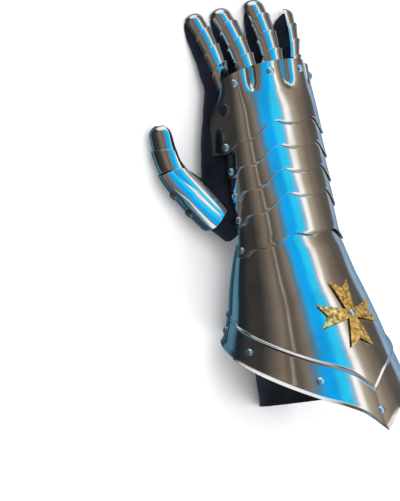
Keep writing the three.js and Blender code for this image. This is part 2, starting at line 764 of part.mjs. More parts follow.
function crossPlate() {
	const half = CROSS_SPAN / 2;
	const outline = [0, 1, 2, 3].flatMap((arm) => CROSS_ARM.map(([along, across]) => (
		new THREE.Vector2(along, across).multiplyScalar(half)
			.rotateAround(new THREE.Vector2(), -arm * Math.PI / 2))));
	const rings = [1 / 3, 2 / 3, 1];
	const reach = form(-CROSS_STATION).width * RADIANS;
	const place = (spot, out) => {
		const turn = 90 - spot.x / reach;
		return crossSeat(turn, spot.y - CROSS_STATION, out);
	};
	const count = outline.length;
	const points = [BRASS, 0].flatMap((out) => [
		place(new THREE.Vector2(), out),
		...rings.flatMap((share) => outline.map((corner) => place(corner.clone().multiplyScalar(share), out))),
	]);
	const under = points.length / 2;
	const triangles = [];
	for (let i = 0; i < count; i++) {
		const next = (i + 1) % count;
		triangles.push([0, 1 + i, 1 + next], [under, under + 1 + next, under + 1 + i]);
		for (let j = 0; j < rings.length - 1; j++) {
			const [c, d] = [1 + j * count + i, 1 + j * count + next];
			const [e, f] = [c + count, d + count];
			triangles.push([c, e, f], [c, f, d]);
			triangles.push([under + c, under + f, under + e], [under + c, under + d, under + f]);
		}
		const [g, h] = [1 + (rings.length - 1) * count + i, 1 + (rings.length - 1) * count + next];
		triangles.push([g, under + g, under + h], [g, under + h, h]);
	}
	return body(points, triangles);
}

gauntlet.name = 'armoured_gauntlet';
add('hand_plate', handPlate(), 'steel');
for (let k = 1; k <= LAME_COUNT; k++) add(`wrist_lame_${k}`, lame(k), 'steel');
add('cuff_plate', cuffMain(), 'steel');
add('cuff_under_plate', cuffUnder(), 'steel');
for (const finger of FINGERS) {
	for (let k = 0; k < FINGER_PLATES; k++) {
		add(`${finger.name}_finger_plate_${k + 1}`, fingerPlate(finger, k), 'steel');
	}
}
add('thumb_base_plate', thumbBase(), 'steel');
add('thumb_middle_plate', thumbPlate(0), 'steel');
add('thumb_tip_plate', thumbPlate(1), 'steel');
const leather = glovePieces();
add('leather_glove', fromSolid(leather.hand), 'leather');
add('glove_cuff', fromSolid(leather.cuff), 'leather');
add('glove_hem', fromSolid(leather.hem), 'leather');
add('thumb_leather', fromSolid(leather.thumb), 'leather');
FINGERS.forEach((finger, i) => {
	add(`${finger.name}_finger_leather`, fromSolid(leather.fingers[i]), 'leather');
});
add('brass_cross', crossPlate(), 'brass');
addRivet('cross_rivet', seat(crossFace, 90, -CROSS_STATION));

FINGERS.forEach((finger, i) => {
	const turn = KNUCKLE_RIVET_TURNS[i];
	addRivet(`${finger.name}_knuckle_rivet`, seat(handFace, turn, knuckleEdge(turn) - KNUCKLE_RIVET_INSET));
});
addRivet('hand_side_rivet', seat(sideSeat, SIDE_RIVET_TURN, HAND_LENGTH * SIDE_RIVET_SHARE), {
	finish: 'darkRivet', radius: FLAT_RIVET_RADIUS, rise: FLAT_RIVET_RISE, flat: true,
});
for (const [side, turn] of [['thumb', 90 + EAR_TURN], ['little', 90 - EAR_TURN]]) {
	for (let k = 0; k <= LAME_COUNT; k++) {
		const surface = k ? lameFace(k) : handFace;
		addRivet(`ear_rivet_${side}_${k + 1}`, seat(surface, turn, lowerEdge(k, turn) + EAR_INSET));
	}
}
BAND_RIVET_TURNS.forEach((turn, i) => {
	const surface = turn > 90 + CUFF_SEAM_TURN ? underFace : cuffFace;
	addRivet(`band_rivet_${i + 1}`, seat(surface, turn, mouth(turn) + bandWidth(turn) / 2));
});
THUMB_RIVET_STOPS.forEach((stop, i) => {
	addRivet(`thumb_rivet_${i + 1}`, seat(thumbFace, THUMB_RIVET_TURN, stop, 0.02), {
		finish: 'darkRivet', radius: THUMB_RIVET_RADIUS, rise: FLAT_RIVET_RISE, flat: true,
	});
});

// Origin on the floor under the middle of the whole gauntlet
const placed = new THREE.Group();
gauntlet.rotation.x = -REST_TILT;
placed.add(gauntlet);
const bounds = new THREE.Box3().setFromObject(placed, true);
const middle = bounds.getCenter(new THREE.Vector3());
gauntlet.position.set(-middle.x, -middle.y, -bounds.min.z);

export default placed;
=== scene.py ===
import math

import bmesh
import bpy
import numpy as np
from bpy.props import FloatProperty, FloatVectorProperty, IntProperty, PointerProperty
from mathutils import Matrix, Vector, noise


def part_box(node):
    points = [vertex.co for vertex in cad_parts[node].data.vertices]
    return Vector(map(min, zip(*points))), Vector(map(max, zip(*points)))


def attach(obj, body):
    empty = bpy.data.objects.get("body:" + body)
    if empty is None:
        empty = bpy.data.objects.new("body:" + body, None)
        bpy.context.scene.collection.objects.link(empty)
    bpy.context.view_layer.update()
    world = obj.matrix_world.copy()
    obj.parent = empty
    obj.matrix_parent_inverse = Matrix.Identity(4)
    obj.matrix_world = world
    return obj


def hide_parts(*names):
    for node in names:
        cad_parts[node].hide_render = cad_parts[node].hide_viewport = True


bl_info = {
    "name": "Armoured gauntlet",
    "version": (1, 0, 0),
    "blender": (4, 5, 0),
    "location": "View3D > Sidebar > Gauntlet",
    "description": "Steel plates, brass cross, rivets and suede glove of a right-hand gauntlet",
    "category": "Add Mesh",
}

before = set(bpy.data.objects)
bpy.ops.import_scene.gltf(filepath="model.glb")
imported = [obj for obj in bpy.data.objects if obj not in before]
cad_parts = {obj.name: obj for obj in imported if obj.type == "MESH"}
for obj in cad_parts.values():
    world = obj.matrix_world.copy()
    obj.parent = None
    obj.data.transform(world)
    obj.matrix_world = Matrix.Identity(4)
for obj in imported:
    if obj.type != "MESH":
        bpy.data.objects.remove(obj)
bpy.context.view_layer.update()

MM = 0.001

# Arm form inside the plates. The arm lies along Y with the fingers at +Y and the thumb
# at -X. Turns are degrees round the arm from +X over the back of the hand, which is 90.
HAND_LENGTH = 158 * MM
CUFF_LENGTH = 182 * MM
WRIST_WIDTH = 93 * MM
WRIST_HEIGHT = 80 * MM
KNUCKLE_WIDTH = 93.6 * MM
KNUCKLE_HEIGHT = 62 * MM
KNUCKLE_SINK = 4 * MM
MOUTH_WIDTH = 168 * MM
MOUTH_HEIGHT = 172 * MM
MOUTH_LIFT = 13 * MM
STEEL = 1.2 * MM
CLEARANCE = 0.35 * MM
BACK = 90

HAND_SECTIONS = {
    "columns": ["along", "width", "height", "sink", "bulge"],
    "rows": [
        [0, 0, 0, 0, 0],
        [0.2, 0.2, 0.15, 0.3, 0.009],
        [0.4, 0.4, 0.42, 0.7, 0.018],
        [0.7, 0.7, 0.8, 0.9, 0.01],
        [1, 1, 1, 1, 0],
    ],
}
CUFF_SECTIONS = {
    "columns": ["along", "width", "height", "lift"],
    "rows": [
        [0, 0, 0, 0],
        [0.19, 0.2, 0.28, 0.03],
        [0.33, 0.36, 0.46, 0.27],
        [0.467, 0.533, 0.61, 0.46],
        [0.637, 0.707, 0.77, 0.69],
        [0.797, 0.84, 0.88, 0.85],
        [1, 1, 1, 1],
    ],
}

# Wavy lower edge of a lame: turn from the middle of the back, reach as a share of the drop
WAVE = {
    "columns": ["turn", "reach"],
    "rows": [
        [0, 0], [13, 0.1], [26, 0.28], [36, 0.1], [46, -0.27],
        [58, -0.53], [76, -0.55], [84, -0.9], [92, -1], [120, -1],
    ],
}
LAME_COUNT = 4
LAME_PITCH = 22 * MM
LAME_OVERLAP = 12 * MM
LAST_LAME_EXTRA = 12 * MM
FIRST_LINE = LAME_PITCH * LAME_COUNT + LAST_LAME_EXTRA - 2 * MM
STEP_SLOPE = (STEEL + CLEARANCE) / LAME_PITCH
LAME_TURN = 100
EAR_DROP = 19 * MM
EAR_TURN = 92
EAR_INSET = 6 * MM
CUFF_WAVE_SHARE = 0.65

# Hand plate
KNUCKLE_CROWN = 11.6 * MM
VALLEY_TURNS = [136, 88, 41]
VALLEY_DEPTH = 4.5 * MM
VALLEY_TURN = 5.5
VALLEY_LENGTH = 24 * MM
PINCH_DEPTH = 2 * MM
PINCH_TURN = 2.6
FLUTE_DEPTH = 3 * MM
FLUTE_TURN = 16
THUMB_FLARE = 13 * MM
THUMB_FLARE_TURN = 168
THUMB_FLARE_FROM = 0.64
THUMB_FLARE_TO = 0.9
CORNER_INSET = 10 * MM
THUMB_CORNER_TURN = 181
THUMB_CORNER_SLOPE = 0.8 * MM
LITTLE_CORNER_TURN = 8
LITTLE_CORNER_SLOPE = 1.1 * MM
THUMB_SIDE_TURN = 115
LITTLE_SIDE_TURN = 100

# Cuff: mouth reach as a share of the cuff length by turn from the middle of the back
MOUTH = {
    "columns": ["turn", "reach"],
    "rows": [
        [0, 1], [14, 0.9], [40, 0.8], [73, 0.665],
        [104, 0.544], [130, 0.478], [180, 0.44],
    ],
}
BAND_WIDTH = 38 * MM
BAND_FLARE = 3 * MM
RIDGE_RISE = 2 * MM
RIDGE_SPREAD = 1.2 * MM
LIP_LENGTH = 4 * MM
LIP_FLARE = 2 * MM
CUFF_SEAM_TURN = 97.5
CUFF_SEAM_LAP = 15
CUFF_EASE = 0.4 * MM

# Rivets and cross
KNUCKLE_RIVET_TURNS = {"index": 161, "middle": 111, "ring": 66, "little": 19}
KNUCKLE_RIVET_INSET = 9 * MM
SIDE_RIVET_TURN = 181
SIDE_RIVET_EASE = 0.3 * MM
SIDE_RIVET_SHARE = 0.75
BAND_RIVET_TURNS = [24, 90, 126, 173, 212]
THUMB_RIVET_TURN = -46
THUMB_RIVET_STOPS = [0.3, 0.62]
CROSS_SPAN = 60 * MM
CROSS_STATION = 75 * MM
CROSS_EASE = 1.2 * MM
CROSS_ARM = [[0.13, 0.13], [1, 0.36], [0.76, 0], [1, -0.36]]
BRASS = 1 * MM
BRASS_EDGE = 0.2 * MM
SHARP_EDGE = math.radians(50)
SEAT = STEEL + CLEARANCE

# Fingers: centre lines in millimetres from the wrist centre, as the CAD has them
FINGER_COLUMNS = ["base", "tip_x", "tip_y", "radius", "taper", "roll", "lift"]
FINGERS = {
    "index": [(-36.5, 146, -21), -52, 206, 8.4, 0.86, 12, 0.6],
    "middle": [(-13.5, 150, -12), -20, 208, 9.6, 0.86, 5, 0],
    "ring": [(15, 151, -9), 20, 213, 10, 0.84, 10, 0.7],
    "little": [(37, 148, -10), 57, 202, 7, 0.86, 58, 5.5],
}
FINGER_PLATES = 4
FINGER_LAP = 5 * MM
FINGER_TUCK = 14 * MM
FINGER_ARCH = 4 * MM
FINGER_REACH = 42 * MM
FINGER_PLATE_TURN = 92
FINGER_ROOT_DEPTH = 24 * MM
FINGER_ROOT_RADIUS = 6 * MM
FINGER_EDGE_ARCH = 0.34
EDGE_FLICK = 0.5 * MM
FLICK_LENGTH = 2.2 * MM
PAD_DROP = 37 * MM
PAD_SHARE = 0.85
PAD_FLATTEN = 1 * MM
GLOVE_EASE = 0.5 * MM
TIP_STOP = 0.985
DOMED = 2.0
FLAT = 7.0

# Thumb centre line in millimetres, with the direction that its plates face
THUMB_POINTS = np.array([
    (-36, 10, -27), (-58, 29, -30), (-80, 52, -31),
    (-95, 71, -32), (-101, 91, -32), (-104, 112, -31),
]) * MM
THUMB_FACES = np.array([
    (-0.6, -0.45, 0.65), (-0.65, -0.42, 0.62), (-0.72, -0.32, 0.6),
    (-0.9, -0.2, 0.3), (-0.97, -0.1, 0.1), (-0.97, 0, 0.05),
])
THUMB_SHARES = np.array([1.3, 1.28, 1.18, 1.05, 0.95, 0.85])
THUMB_RADIUS = 11 * MM
THUMB_PLATE_TURN = 78
THUMB_BASE_SPREAD = 20
THUMB_BASE_FROM = 0.17
THUMB_BASE_TO = 0.63
THUMB_TIP_STATIONS = [0.62, 0.81, 1]
ROOF_RISE = 5.2 * MM
ROOF_TURN = 34

# Glove from the hem to the knuckles: station as a share of the cloth cuff or the hand,
# shift across as a share of the hem width, half sizes as shares of the arm form
GLOVE_CUFF_LENGTH = 151 * MM
HEM_WIDTH = 68 * MM
GLOVE_SECTIONS = {
    "columns": ["along", "shift", "width", "rise", "drop"],
    "rows": [
        [-1.06, 0.4, 0.43, -0.27, 1.13],
        [-1, 0.4, 0.43, -0.27, 1.13],
        [-0.76, 0.26, 0.47, -0.15, 1.02],
        [-0.46, 0.12, 0.53, 0.19, 0.8],
        [-0.13, 0.04, 0.72, 0.54, 0.86],
        [0.06, 0, 0.84, 0.85, 0.92],
        [0.32, -0.02, 0.85, 1, 0.94],
        [0.57, -0.03, 0.89, 1, 0.9],
        [0.74, -0.01, 0.91, 0.72, 0.84],
        [0.85, 0, 0.9, 0.2, 0.76],
        [0.9, 0, 0.81, -0.12, 0.68],
    ],
}

# Fuller leather beside the plates, from hand to fingertip: centre and radius
SIDE_LEATHER = [
    [(-47, 24, -28, 17), (-47, 45, -28, 18), (-48, 62, -28, 15.5), (-49, 76, -28, 13),
     (-49.5, 95, -27, 11), (-48, 116, -26, 8.5), (-44, 140, -26, 7.5), (-48, 162, -29, 6.8),
     (-53, 184, -33, 6), (-56, 197, -35, 4.8), (-57, 203, -36, 1)],
    [(-18, 142, -19, 7), (-20, 165, -23, 7.5), (-23, 186, -28, 7.5), (-25, 200, -33, 5),
     (-25, 206, -35, 1)],
    [(10, 146, -14, 6), (11, 165, -20, 7), (13, 188, -28, 7), (15, 203, -33, 5),
     (16, 209, -35, 1)],
    [(33, 142, -15, 4), (37, 160, -20, 6.5), (43, 178, -26, 7.5), (48, 192, -31, 5.5),
     (51, 199, -33, 1.5)],
]

# Wrinkles of the leather, in millimetres: their sizes along each axis and their depths
FOLD_SIZES = (26, 9, 26)
DRAPE_SIZES = (34, 30, 20)
FOLD_DEPTH = 0.9
DRAPE_DEPTH = 0.8

# Camera of the photograph: pixel size at the wrist, where it looks from and its roll
PIXEL = 0.9 * MM
PHOTO_WIDTH = 400
PHOTO_HEIGHT = 501
WRIST_PIXEL = (286, 236)
VIEW_SIDE = math.radians(40)
VIEW_ROLL = math.radians(7)
CAMERA_LENS = 420
SENSOR = 36

# Room that the steel mirrors: a few plain colours, and the turn round the arm of each panel
ROOM_COLOURS = {
    "night": "#202830",
    "ink": "#383838",
    "shade": "#585450",
    "wall": "#807468",
    "pale": "#B0A898",
    "white": "#FFFFFF",
    "haze": "#98B0D0",
    "sky": "#28CCFF",
    "blue": "#08A8F8",
    "dusk": "#508098",
}
ROOM_PANELS = [
    (-90, "night"), (-40, "dusk"), (-12, "haze"), (-4, "shade"), (14, "shade"), (34, "wall"),
    (50, "pale"), (56, "white"), (62, "white"), (66, "haze"), (72, "sky"), (82, "sky"),
    (90, "blue"), (104, "blue"), (114, "dusk"), (124, "wall"), (136, "shade"), (141, "shade"),
    (144, "pale"), (147, "shade"), (158, "wall"), (174, "shade"), (188, "ink"), (212, "ink"),
    (230, "night"), (240, "night"), (254, "dusk"), (262, "dusk"),
]
PANEL_LEAN = math.radians(14)
ROOM_GAIN = 1.25
ROOM_LIGHT = (1.0, 1.0, 1.02, 1)
END_WALLS = (0.82, 0.93)
END_WALL_COLOUR = (0.9, 0.92, 0.95, 1)


def linear(code):
    """Linear colour of an sRGB hex value."""
    channels = [int(code[i:i + 2], 16) / 255 for i in (1, 3, 5)]
    return tuple(c / 12.92 if c <= 0.04045 else ((c + 0.055) / 1.055) ** 2.4 for c in channels)


def opaque(colour):
    return (*colour[:3], 1)


def smooth(start, end, value):
    t = np.clip((value - start) / (end - start), 0, 1)
    return t * t * (3 - 2 * t)


def follow(table, column, place):
    """Value of one column of a table at places in its first column, on a smooth curve."""
    keys = np.array([row[0] for row in table["rows"]], float)
    at = np.array([row[table["columns"].index(column)] for row in table["rows"]], float)
    steps = np.diff(keys)
    slopes = np.diff(at) / steps
    middle = (at[2:] - at[:-2]) / (keys[2:] - keys[:-2])
    middle = np.where(slopes[:-1] * slopes[1:] <= 0, 0, middle)
    bends = np.concatenate((slopes[:1], middle, slopes[-1:]))
    spot = np.clip(place, keys[0], keys[-1])
    i = np.clip(np.searchsorted(keys, spot) - 1, 0, len(keys) - 2)
    t = (spot - keys[i]) / steps[i]
    rest = 1 - t
    value = at[i] * (1 + 2 * t) * rest ** 2 + bends[i] * steps[i] * t * rest ** 2
    return value + at[i + 1] * t ** 2 * (3 - 2 * t) - bends[i + 1] * steps[i] * t ** 2 * rest


def form(y):
    """Half width, half height and centre height of the arm form at stations."""
    y = np.asarray(y, float)
    hand, cuff = y / HAND_LENGTH, -y / CUFF_LENGTH
    bulge = KNUCKLE_WIDTH * follow(HAND_SECTIONS, "bulge", hand)
    knuckle_width = (KNUCKLE_WIDTH - WRIST_WIDTH) * follow(HAND_SECTIONS, "width", hand)
    knuckle_height = (KNUCKLE_HEIGHT - WRIST_HEIGHT) * follow(HAND_SECTIONS, "height", hand)
    sink = -KNUCKLE_SINK * follow(HAND_SECTIONS, "sink", hand)
    mouth_width = (MOUTH_WIDTH - WRIST_WIDTH) * follow(CUFF_SECTIONS, "width", cuff)
    mouth_height = (MOUTH_HEIGHT - WRIST_HEIGHT) * follow(CUFF_SECTIONS, "height", cuff)
    lift = MOUTH_LIFT * follow(CUFF_SECTIONS, "lift", cuff)
    on_hand = y > 0
    width = (WRIST_WIDTH + np.where(on_hand, knuckle_width + bulge, mouth_width)) / 2
    height = (WRIST_HEIGHT + np.where(on_hand, knuckle_height, mouth_height)) / 2
    return width, height, np.where(on_hand, sink, lift)


def skin(turn, y, out):
    """Points out from the arm form along its normal."""
    width, height, centre = form(y)
    across, up = np.cos(np.radians(turn)), np.sin(np.radians(turn))
    scale = out / np.hypot(across / width, up / height)
    x = across * (width + scale / width)
    z = centre + up * (height + scale / height)
    return np.stack(np.broadcast_arrays(x, y, z), axis=-1)


def edge_line(k):
    return FIRST_LINE - k * LAME_PITCH - (LAST_LAME_EXTRA if k == LAME_COUNT else 0)


def lower_edge(k, turn):
    share = CUFF_WAVE_SHARE if k == LAME_COUNT else 1
    return edge_line(k) + follow(WAVE, "reach", np.abs(turn - BACK)) * EAR_DROP * share


def step_out(k, y):
    return STEP_SLOPE * (FIRST_LINE + LAME_OVERLAP - (k - 1) * LAME_PITCH - y)


def flick(distance):
    """How far a plate's free edge turns outwards, by the distance to that edge."""
    return EDGE_FLICK * np.maximum(0, 1 - distance / FLICK_LENGTH) ** 2


def lame_point(k, u, v, face):
    turn = BACK - LAME_TURN + 2 * LAME_TURN * u
    front = lower_edge(k - 1, turn) + LAME_OVERLAP
    low = lower_edge(k, turn)
    y = front + (low - front) * v
    return skin(turn, y, step_out(k, y) + flick(y - low) + face * STEEL)


def hand_out(turn, y):
    out = np.maximum(0, step_out(0, y))
    flute_start = FIRST_LINE + LAME_OVERLAP + 4 * MM
    start = HAND_LENGTH - VALLEY_LENGTH
    for valley in VALLEY_TURNS:
        along = smooth(start - 4 * MM, start + 8 * MM, y)
        out = out - VALLEY_DEPTH * np.exp(-((turn - valley) / VALLEY_TURN) ** 2) * along
        out = out - PINCH_DEPTH * np.exp(-((turn - valley) / PINCH_TURN) ** 2) * along
        flute = np.exp(-((turn - valley) / FLUTE_TURN) ** 2)
        out = out - FLUTE_DEPTH * flute * smooth(flute_start, HAND_LENGTH, y)
    along = 1 - smooth(HAND_LENGTH * THUMB_FLARE_FROM, HAND_LENGTH * THUMB_FLARE_TO, y)
    side = np.maximum(0, turn - THUMB_FLARE_TURN) / (BACK + THUMB_SIDE_TURN - THUMB_FLARE_TURN)
    return out + THUMB_FLARE * side ** 2 * along


def knuckle_edge(turn):
    crown = HAND_LENGTH - KNUCKLE_CROWN * (1 - np.sin(np.radians(turn)))
    corner = HAND_LENGTH - CORNER_INSET
    thumb_corner = corner - THUMB_CORNER_SLOPE * (turn - THUMB_CORNER_TURN)
    little_corner = corner + LITTLE_CORNER_SLOPE * (turn - LITTLE_CORNER_TURN)
    return np.minimum(crown, np.minimum(thumb_corner, little_corner))


def hand_point(u, v, face):
    turn = BACK - LITTLE_SIDE_TURN + (LITTLE_SIDE_TURN + THUMB_SIDE_TURN) * u
    front = knuckle_edge(turn)
    low = lower_edge(0, turn)
    y = front + (low - front) * v ** 1.25
    return skin(turn, y, hand_out(turn, y) + flick(y - low) + face * STEEL)


def away_from_back(turn):
    return np.abs((turn - BACK + 540) % 360 - 180)


def mouth(turn):
    return -CUFF_LENGTH * follow(MOUTH, "reach", away_from_back(turn))


def band_width(turn):
    return BAND_WIDTH * (1 - away_from_back(turn) / 360)


def cuff_out(turn, y):
    base = STEP_SLOPE * (LAME_PITCH - np.maximum(y, -LAME_OVERLAP)) - CUFF_EASE
    end = mouth(turn)
    ridge = end + band_width(turn)
    rise = RIDGE_RISE * np.exp(-((y - ridge) / RIDGE_SPREAD) ** 2)
    flare = BAND_FLARE * np.maximum(0, (ridge - y) / band_width(turn))
    lip = LIP_FLARE * np.maximum(0, (end + LIP_LENGTH - y) / LIP_LENGTH) ** 1.5
    return base + rise + flare + lip


def cuff_station(turn, front, v):
    """Stations from the front edge to the mouth, close together over the ridge and lip."""
    end = mouth(turn)
    ridge = end + band_width(turn)
    reach = 3 * RIDGE_SPREAD
    stops = [0, 0.5, 0.68, 0.9, 1]
    marks = [front, ridge + reach, ridge - reach, end + LIP_LENGTH, end]
    y = np.zeros(np.broadcast(turn, v).shape)
    for a, b, start, stop in zip(stops, stops[1:], marks, marks[1:]):
        t = np.clip((v - a) / (b - a), 0, 1)
        y = np.where((v >= a) & (v <= b), start + (stop - start) * t, y)
    return y


def cuff_point(first, last, inset, front, u, v, face):
    turn = first + (last - first) * u
    y = cuff_station(turn, front(turn), v)
    return skin(turn, y, cuff_out(turn, y) - inset + face * STEEL)


def main_front(turn):
    return lower_edge(LAME_COUNT, turn) + LAME_OVERLAP


def under_front(turn):
    return edge_line(LAME_COUNT) + LAME_OVERLAP - EAR_DROP * CUFF_WAVE_SHARE + 0 * turn


# Floor under the gauntlet as it rests: it passes under the rim of the cuff and the pads
RIM = skin(270, mouth(270), cuff_out(270, mouth(270)) - CLEARANCE)
PAD = np.array([0, HAND_LENGTH + FINGER_REACH, -PAD_DROP])
REST_TILT = math.atan2(PAD[2] - RIM[2], PAD[1] - RIM[1])
LEVEL = np.array(Matrix.Rotation(-REST_TILT, 3, "X"))


def arm_origin():
    """Where the wrist centre lies, from the box of one lame in the frame."""
    u, v = np.meshgrid(np.linspace(0, 1, 31), np.linspace(0, 1, 3))
    points = lame_point(2, u, v, 1.0).reshape(-1, 3) @ LEVEL.T
    inner = lame_point(2, u, v, 0.0).reshape(-1, 3) @ LEVEL.T
    highest = np.vstack((points, inner)).max(axis=0)
    return np.array(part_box("wrist_lame_2")[1]) - highest


ARM_ORIGIN = arm_origin()


def placed(points):
    """Points of the arm form turned level and set on the floor."""
    return np.asarray(points).reshape(-1, 3) @ LEVEL.T + ARM_ORIGIN


def unit(vectors):
    return vectors / np.linalg.norm(vectors, axis=-1, keepdims=True)


def arc_point(centre, along, face, turn, radius):
    side = unit(np.cross(along, face))
    up = unit(np.cross(side, along))
    across, rise = np.sin(np.radians(turn)), np.cos(np.radians(turn))
    return centre + (radius * across)[..., None] * side + (radius * rise)[..., None] * up


class Finger:
    """Centre line, facing direction and radius of one finger."""

    def __init__(self, row):
        values = dict(zip(FINGER_COLUMNS, row))
        self.base = np.array(values["base"]) * MM
        self.full = values["radius"] * MM
        self.taper = values["taper"]
        roll = math.radians(values["roll"])
        self.face = np.array([math.sin(roll), 0, math.cos(roll)])
        tip = np.array([values["tip_x"], values["tip_y"], 0]) * MM
        t = PAD_SHARE
        y = self.base[1] + (tip[1] - self.base[1]) * t
        floor = RIM[2] + (y - RIM[1]) * math.tan(REST_TILT)
        radius = self.full * (1 - (1 - self.taper) * t) - GLOVE_EASE
        pad = floor + radius - PAD_FLATTEN + values["lift"] * MM
        tip[2] = (pad - (1 - t) * self.base[2]) / t - 4 * FINGER_ARCH * (1 - t)
        self.tip = tip
        self.middle = (self.base + tip) / 2 + np.array([0, 0, FINGER_ARCH * 2])
        path = self.at(np.linspace(0, 1, 200))
        self.length = np.linalg.norm(np.diff(path, axis=0), axis=1).sum()

    def at(self, share):
        t = np.asarray(share, float)[..., None]
        rest = 1 - t
        return self.base * rest ** 2 + self.middle * 2 * t * rest + self.tip * t ** 2

    def along(self, share):
        t = np.asarray(share, float)[..., None]
        return unit((self.middle - self.base) * (1 - t) + (self.tip - self.middle) * t)

    def radius(self, share):
        full = self.full * (1 - (1 - self.taper) * share)
        left = np.minimum(1, (1 - share) * self.length / full)
        return full * np.sqrt(np.maximum(0.02, 1 - (1 - left) ** 2))


def finger_plate_point(finger, k, u, v, face):
    pitch = finger.length / FINGER_PLATES
    start = (k * pitch - (FINGER_LAP if k else FINGER_TUCK)) / finger.length
    end = (k + 1) / FINGER_PLATES
    turn = FINGER_PLATE_TURN * (2 * u - 1)
    side = np.abs(2 * u - 1)
    if k == FINGER_PLATES - 1:
        stop = TIP_STOP * (1 - (1 - v) ** 1.7)
    else:
        stop = v * (1 - FINGER_EDGE_ARCH * side ** 3)
    share = start + (end - start) * stop
    rise = (STEEL + CLEARANCE) * (share * finger.length - k * pitch + FINGER_LAP) / pitch
    radius = finger.radius(share) + rise + face * STEEL
    if k < FINGER_PLATES - 1:
        radius = radius + flick((1 - v) * pitch)
    return arc_point(finger.at(share), finger.along(share), finger.face, turn, radius)


def thumb_at(share):
    """Centre, direction, facing and radius of the thumb on a Catmull-Rom curve."""
    share = np.asarray(share, float)
    last = len(THUMB_POINTS) - 1
    spot = np.clip(share, 0, 1) * last
    i = np.clip(np.floor(spot).astype(int), 0, last - 1)
    t = (spot - i)[..., None]
    ghost_first = 2 * THUMB_POINTS[0] - THUMB_POINTS[1]
    ghost_last = 2 * THUMB_POINTS[-1] - THUMB_POINTS[-2]
    line = np.vstack((ghost_first, THUMB_POINTS, ghost_last))
    a, b, c, d = (line[i + n] for n in range(4))
    leave, reach = (c - a) / 2, (d - b) / 2
    centre = (2 * t ** 3 - 3 * t ** 2 + 1) * b + (t ** 3 - 2 * t ** 2 + t) * leave
    centre = centre + (3 * t ** 2 - 2 * t ** 3) * c + (t ** 3 - t ** 2) * reach
    along = (6 * t ** 2 - 6 * t) * (b - c) + (3 * t ** 2 - 4 * t + 1) * leave
    along = along + (3 * t ** 2 - 2 * t) * reach
    face = unit(THUMB_FACES[i] * (1 - t) + THUMB_FACES[i + 1] * t)
    radius = THUMB_SHARES[i] * (1 - t[..., 0]) + THUMB_SHARES[i + 1] * t[..., 0]
    return centre, unit(along), face, radius * THUMB_RADIUS


THUMB_PATH = thumb_at(np.linspace(0, 1, 300))[0]
THUMB_LENGTH = np.linalg.norm(np.diff(THUMB_PATH, axis=0), axis=1).sum()


def thumb_end(share):
    left = np.minimum(1, (1 - share) * THUMB_LENGTH / THUMB_RADIUS)
    return np.sqrt(np.maximum(0.03, 1 - (1 - left) ** 2))


def thumb_plate_point(k, u, v, face):
    start = THUMB_TIP_STATIONS[k] - (0.03 if k else 0.02)
    end = THUMB_TIP_STATIONS[k + 1]
    side = np.abs(2 * u - 1)
    stop = TIP_STOP * (1 - (1 - v) ** 1.6) if k else v * (1 - 0.15 * side ** 3)
    share = start + (end - start) * stop
    centre, along, facing, radius = thumb_at(share)
    turn = THUMB_PLATE_TURN * (2 * u - 1)
    rise = (STEEL + CLEARANCE) * (stop if k else stop * 1.15)
    return arc_point(centre, along, facing, turn, radius * thumb_end(share) + rise + face * STEEL)


def thumb_base_at(turn, stop, out):
    share = THUMB_BASE_FROM + (THUMB_BASE_TO - THUMB_BASE_FROM) * stop
    centre, along, facing, radius = thumb_at(share)
    ridge = np.maximum(0, 1 - np.sqrt(np.abs(turn) ** 2 + 3) / ROOF_TURN)
    lift = 1.2 * (STEEL + CLEARANCE) + ROOF_RISE * ridge * (0.5 + 0.5 * stop)
    return arc_point(centre, along, facing, turn, radius + lift + out)


def thumb_base_point(u, v, face):
    spread = THUMB_PLATE_TURN + THUMB_BASE_SPREAD * (1 - v)
    turn = -THUMB_PLATE_TURN + (THUMB_PLATE_TURN + spread) * u
    stop = v * (1 - 0.08 * np.abs(2 * u - 1) ** 3)
    return thumb_base_at(turn, stop, face * STEEL)


def closed_sheet(place, columns, rows):
    """Points and faces of a bent plate: outer and inner faces joined round the edges."""
    v, u = np.meshgrid(np.linspace(0, 1, rows + 1), np.linspace(0, 1, columns + 1))
    points = [placed(place(u, v, face)) for face in (1.0, 0.0)]
    half = (columns + 1) * (rows + 1)
    faces = []
    for i in range(columns):
        for j in range(rows):
            a = i * (rows + 1) + j
            b = a + rows + 1
            faces.append((a, b, b + 1, a + 1))
            faces.append((half + a + 1, half + b + 1, half + b, half + a))
    border = [i * (rows + 1) for i in range(columns + 1)]
    border += [columns * (rows + 1) + j for j in range(1, rows + 1)]
    border += [i * (rows + 1) + rows for i in range(columns - 1, -1, -1)]
    border += list(range(rows - 1, 0, -1))
    for a, b in zip(border, border[1:] + border[:1]):
        faces.append((b, a, half + a, half + b))
    return np.vstack(points), faces


def mesh_object(name, points, faces):
    """New mesh object at the origin, with its faces turned outwards."""
    mesh = bpy.data.meshes.new(name)
    mesh.from_pydata([tuple(p) for p in points], [], faces)
    shape = bmesh.new()
    shape.from_mesh(mesh)
    bmesh.ops.recalc_face_normals(shape, faces=shape.faces)
    shape.to_mesh(mesh)
    shape.free()
    mesh.shade_smooth()
    obj = bpy.data.objects.new(name, mesh)
    bpy.context.scene.collection.objects.link(obj)
    return obj


def rename_node(node):
    """The dressed piece takes a name of its own beside the CAD node."""
    return f"{node}_dressed"


def dress(obj, material, slot, *nodes):
    obj.data.materials.clear()
    obj.data.materials.append(material)
    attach(obj, "root")
    if nodes:
        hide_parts(*nodes)
    return obj


def round_edges(obj, name, width):
    """Rounds a sheet's cut edges and keeps its broad faces evenly shaded."""
    bevel = obj.modifiers.new(name, "BEVEL")
    bevel.width = width
    bevel.segments = 2
    bevel.limit_method = "ANGLE"
    bevel.angle_limit = SHARP_EDGE
    obj.modifiers.new("Even normals", "WEIGHTED_NORMAL")


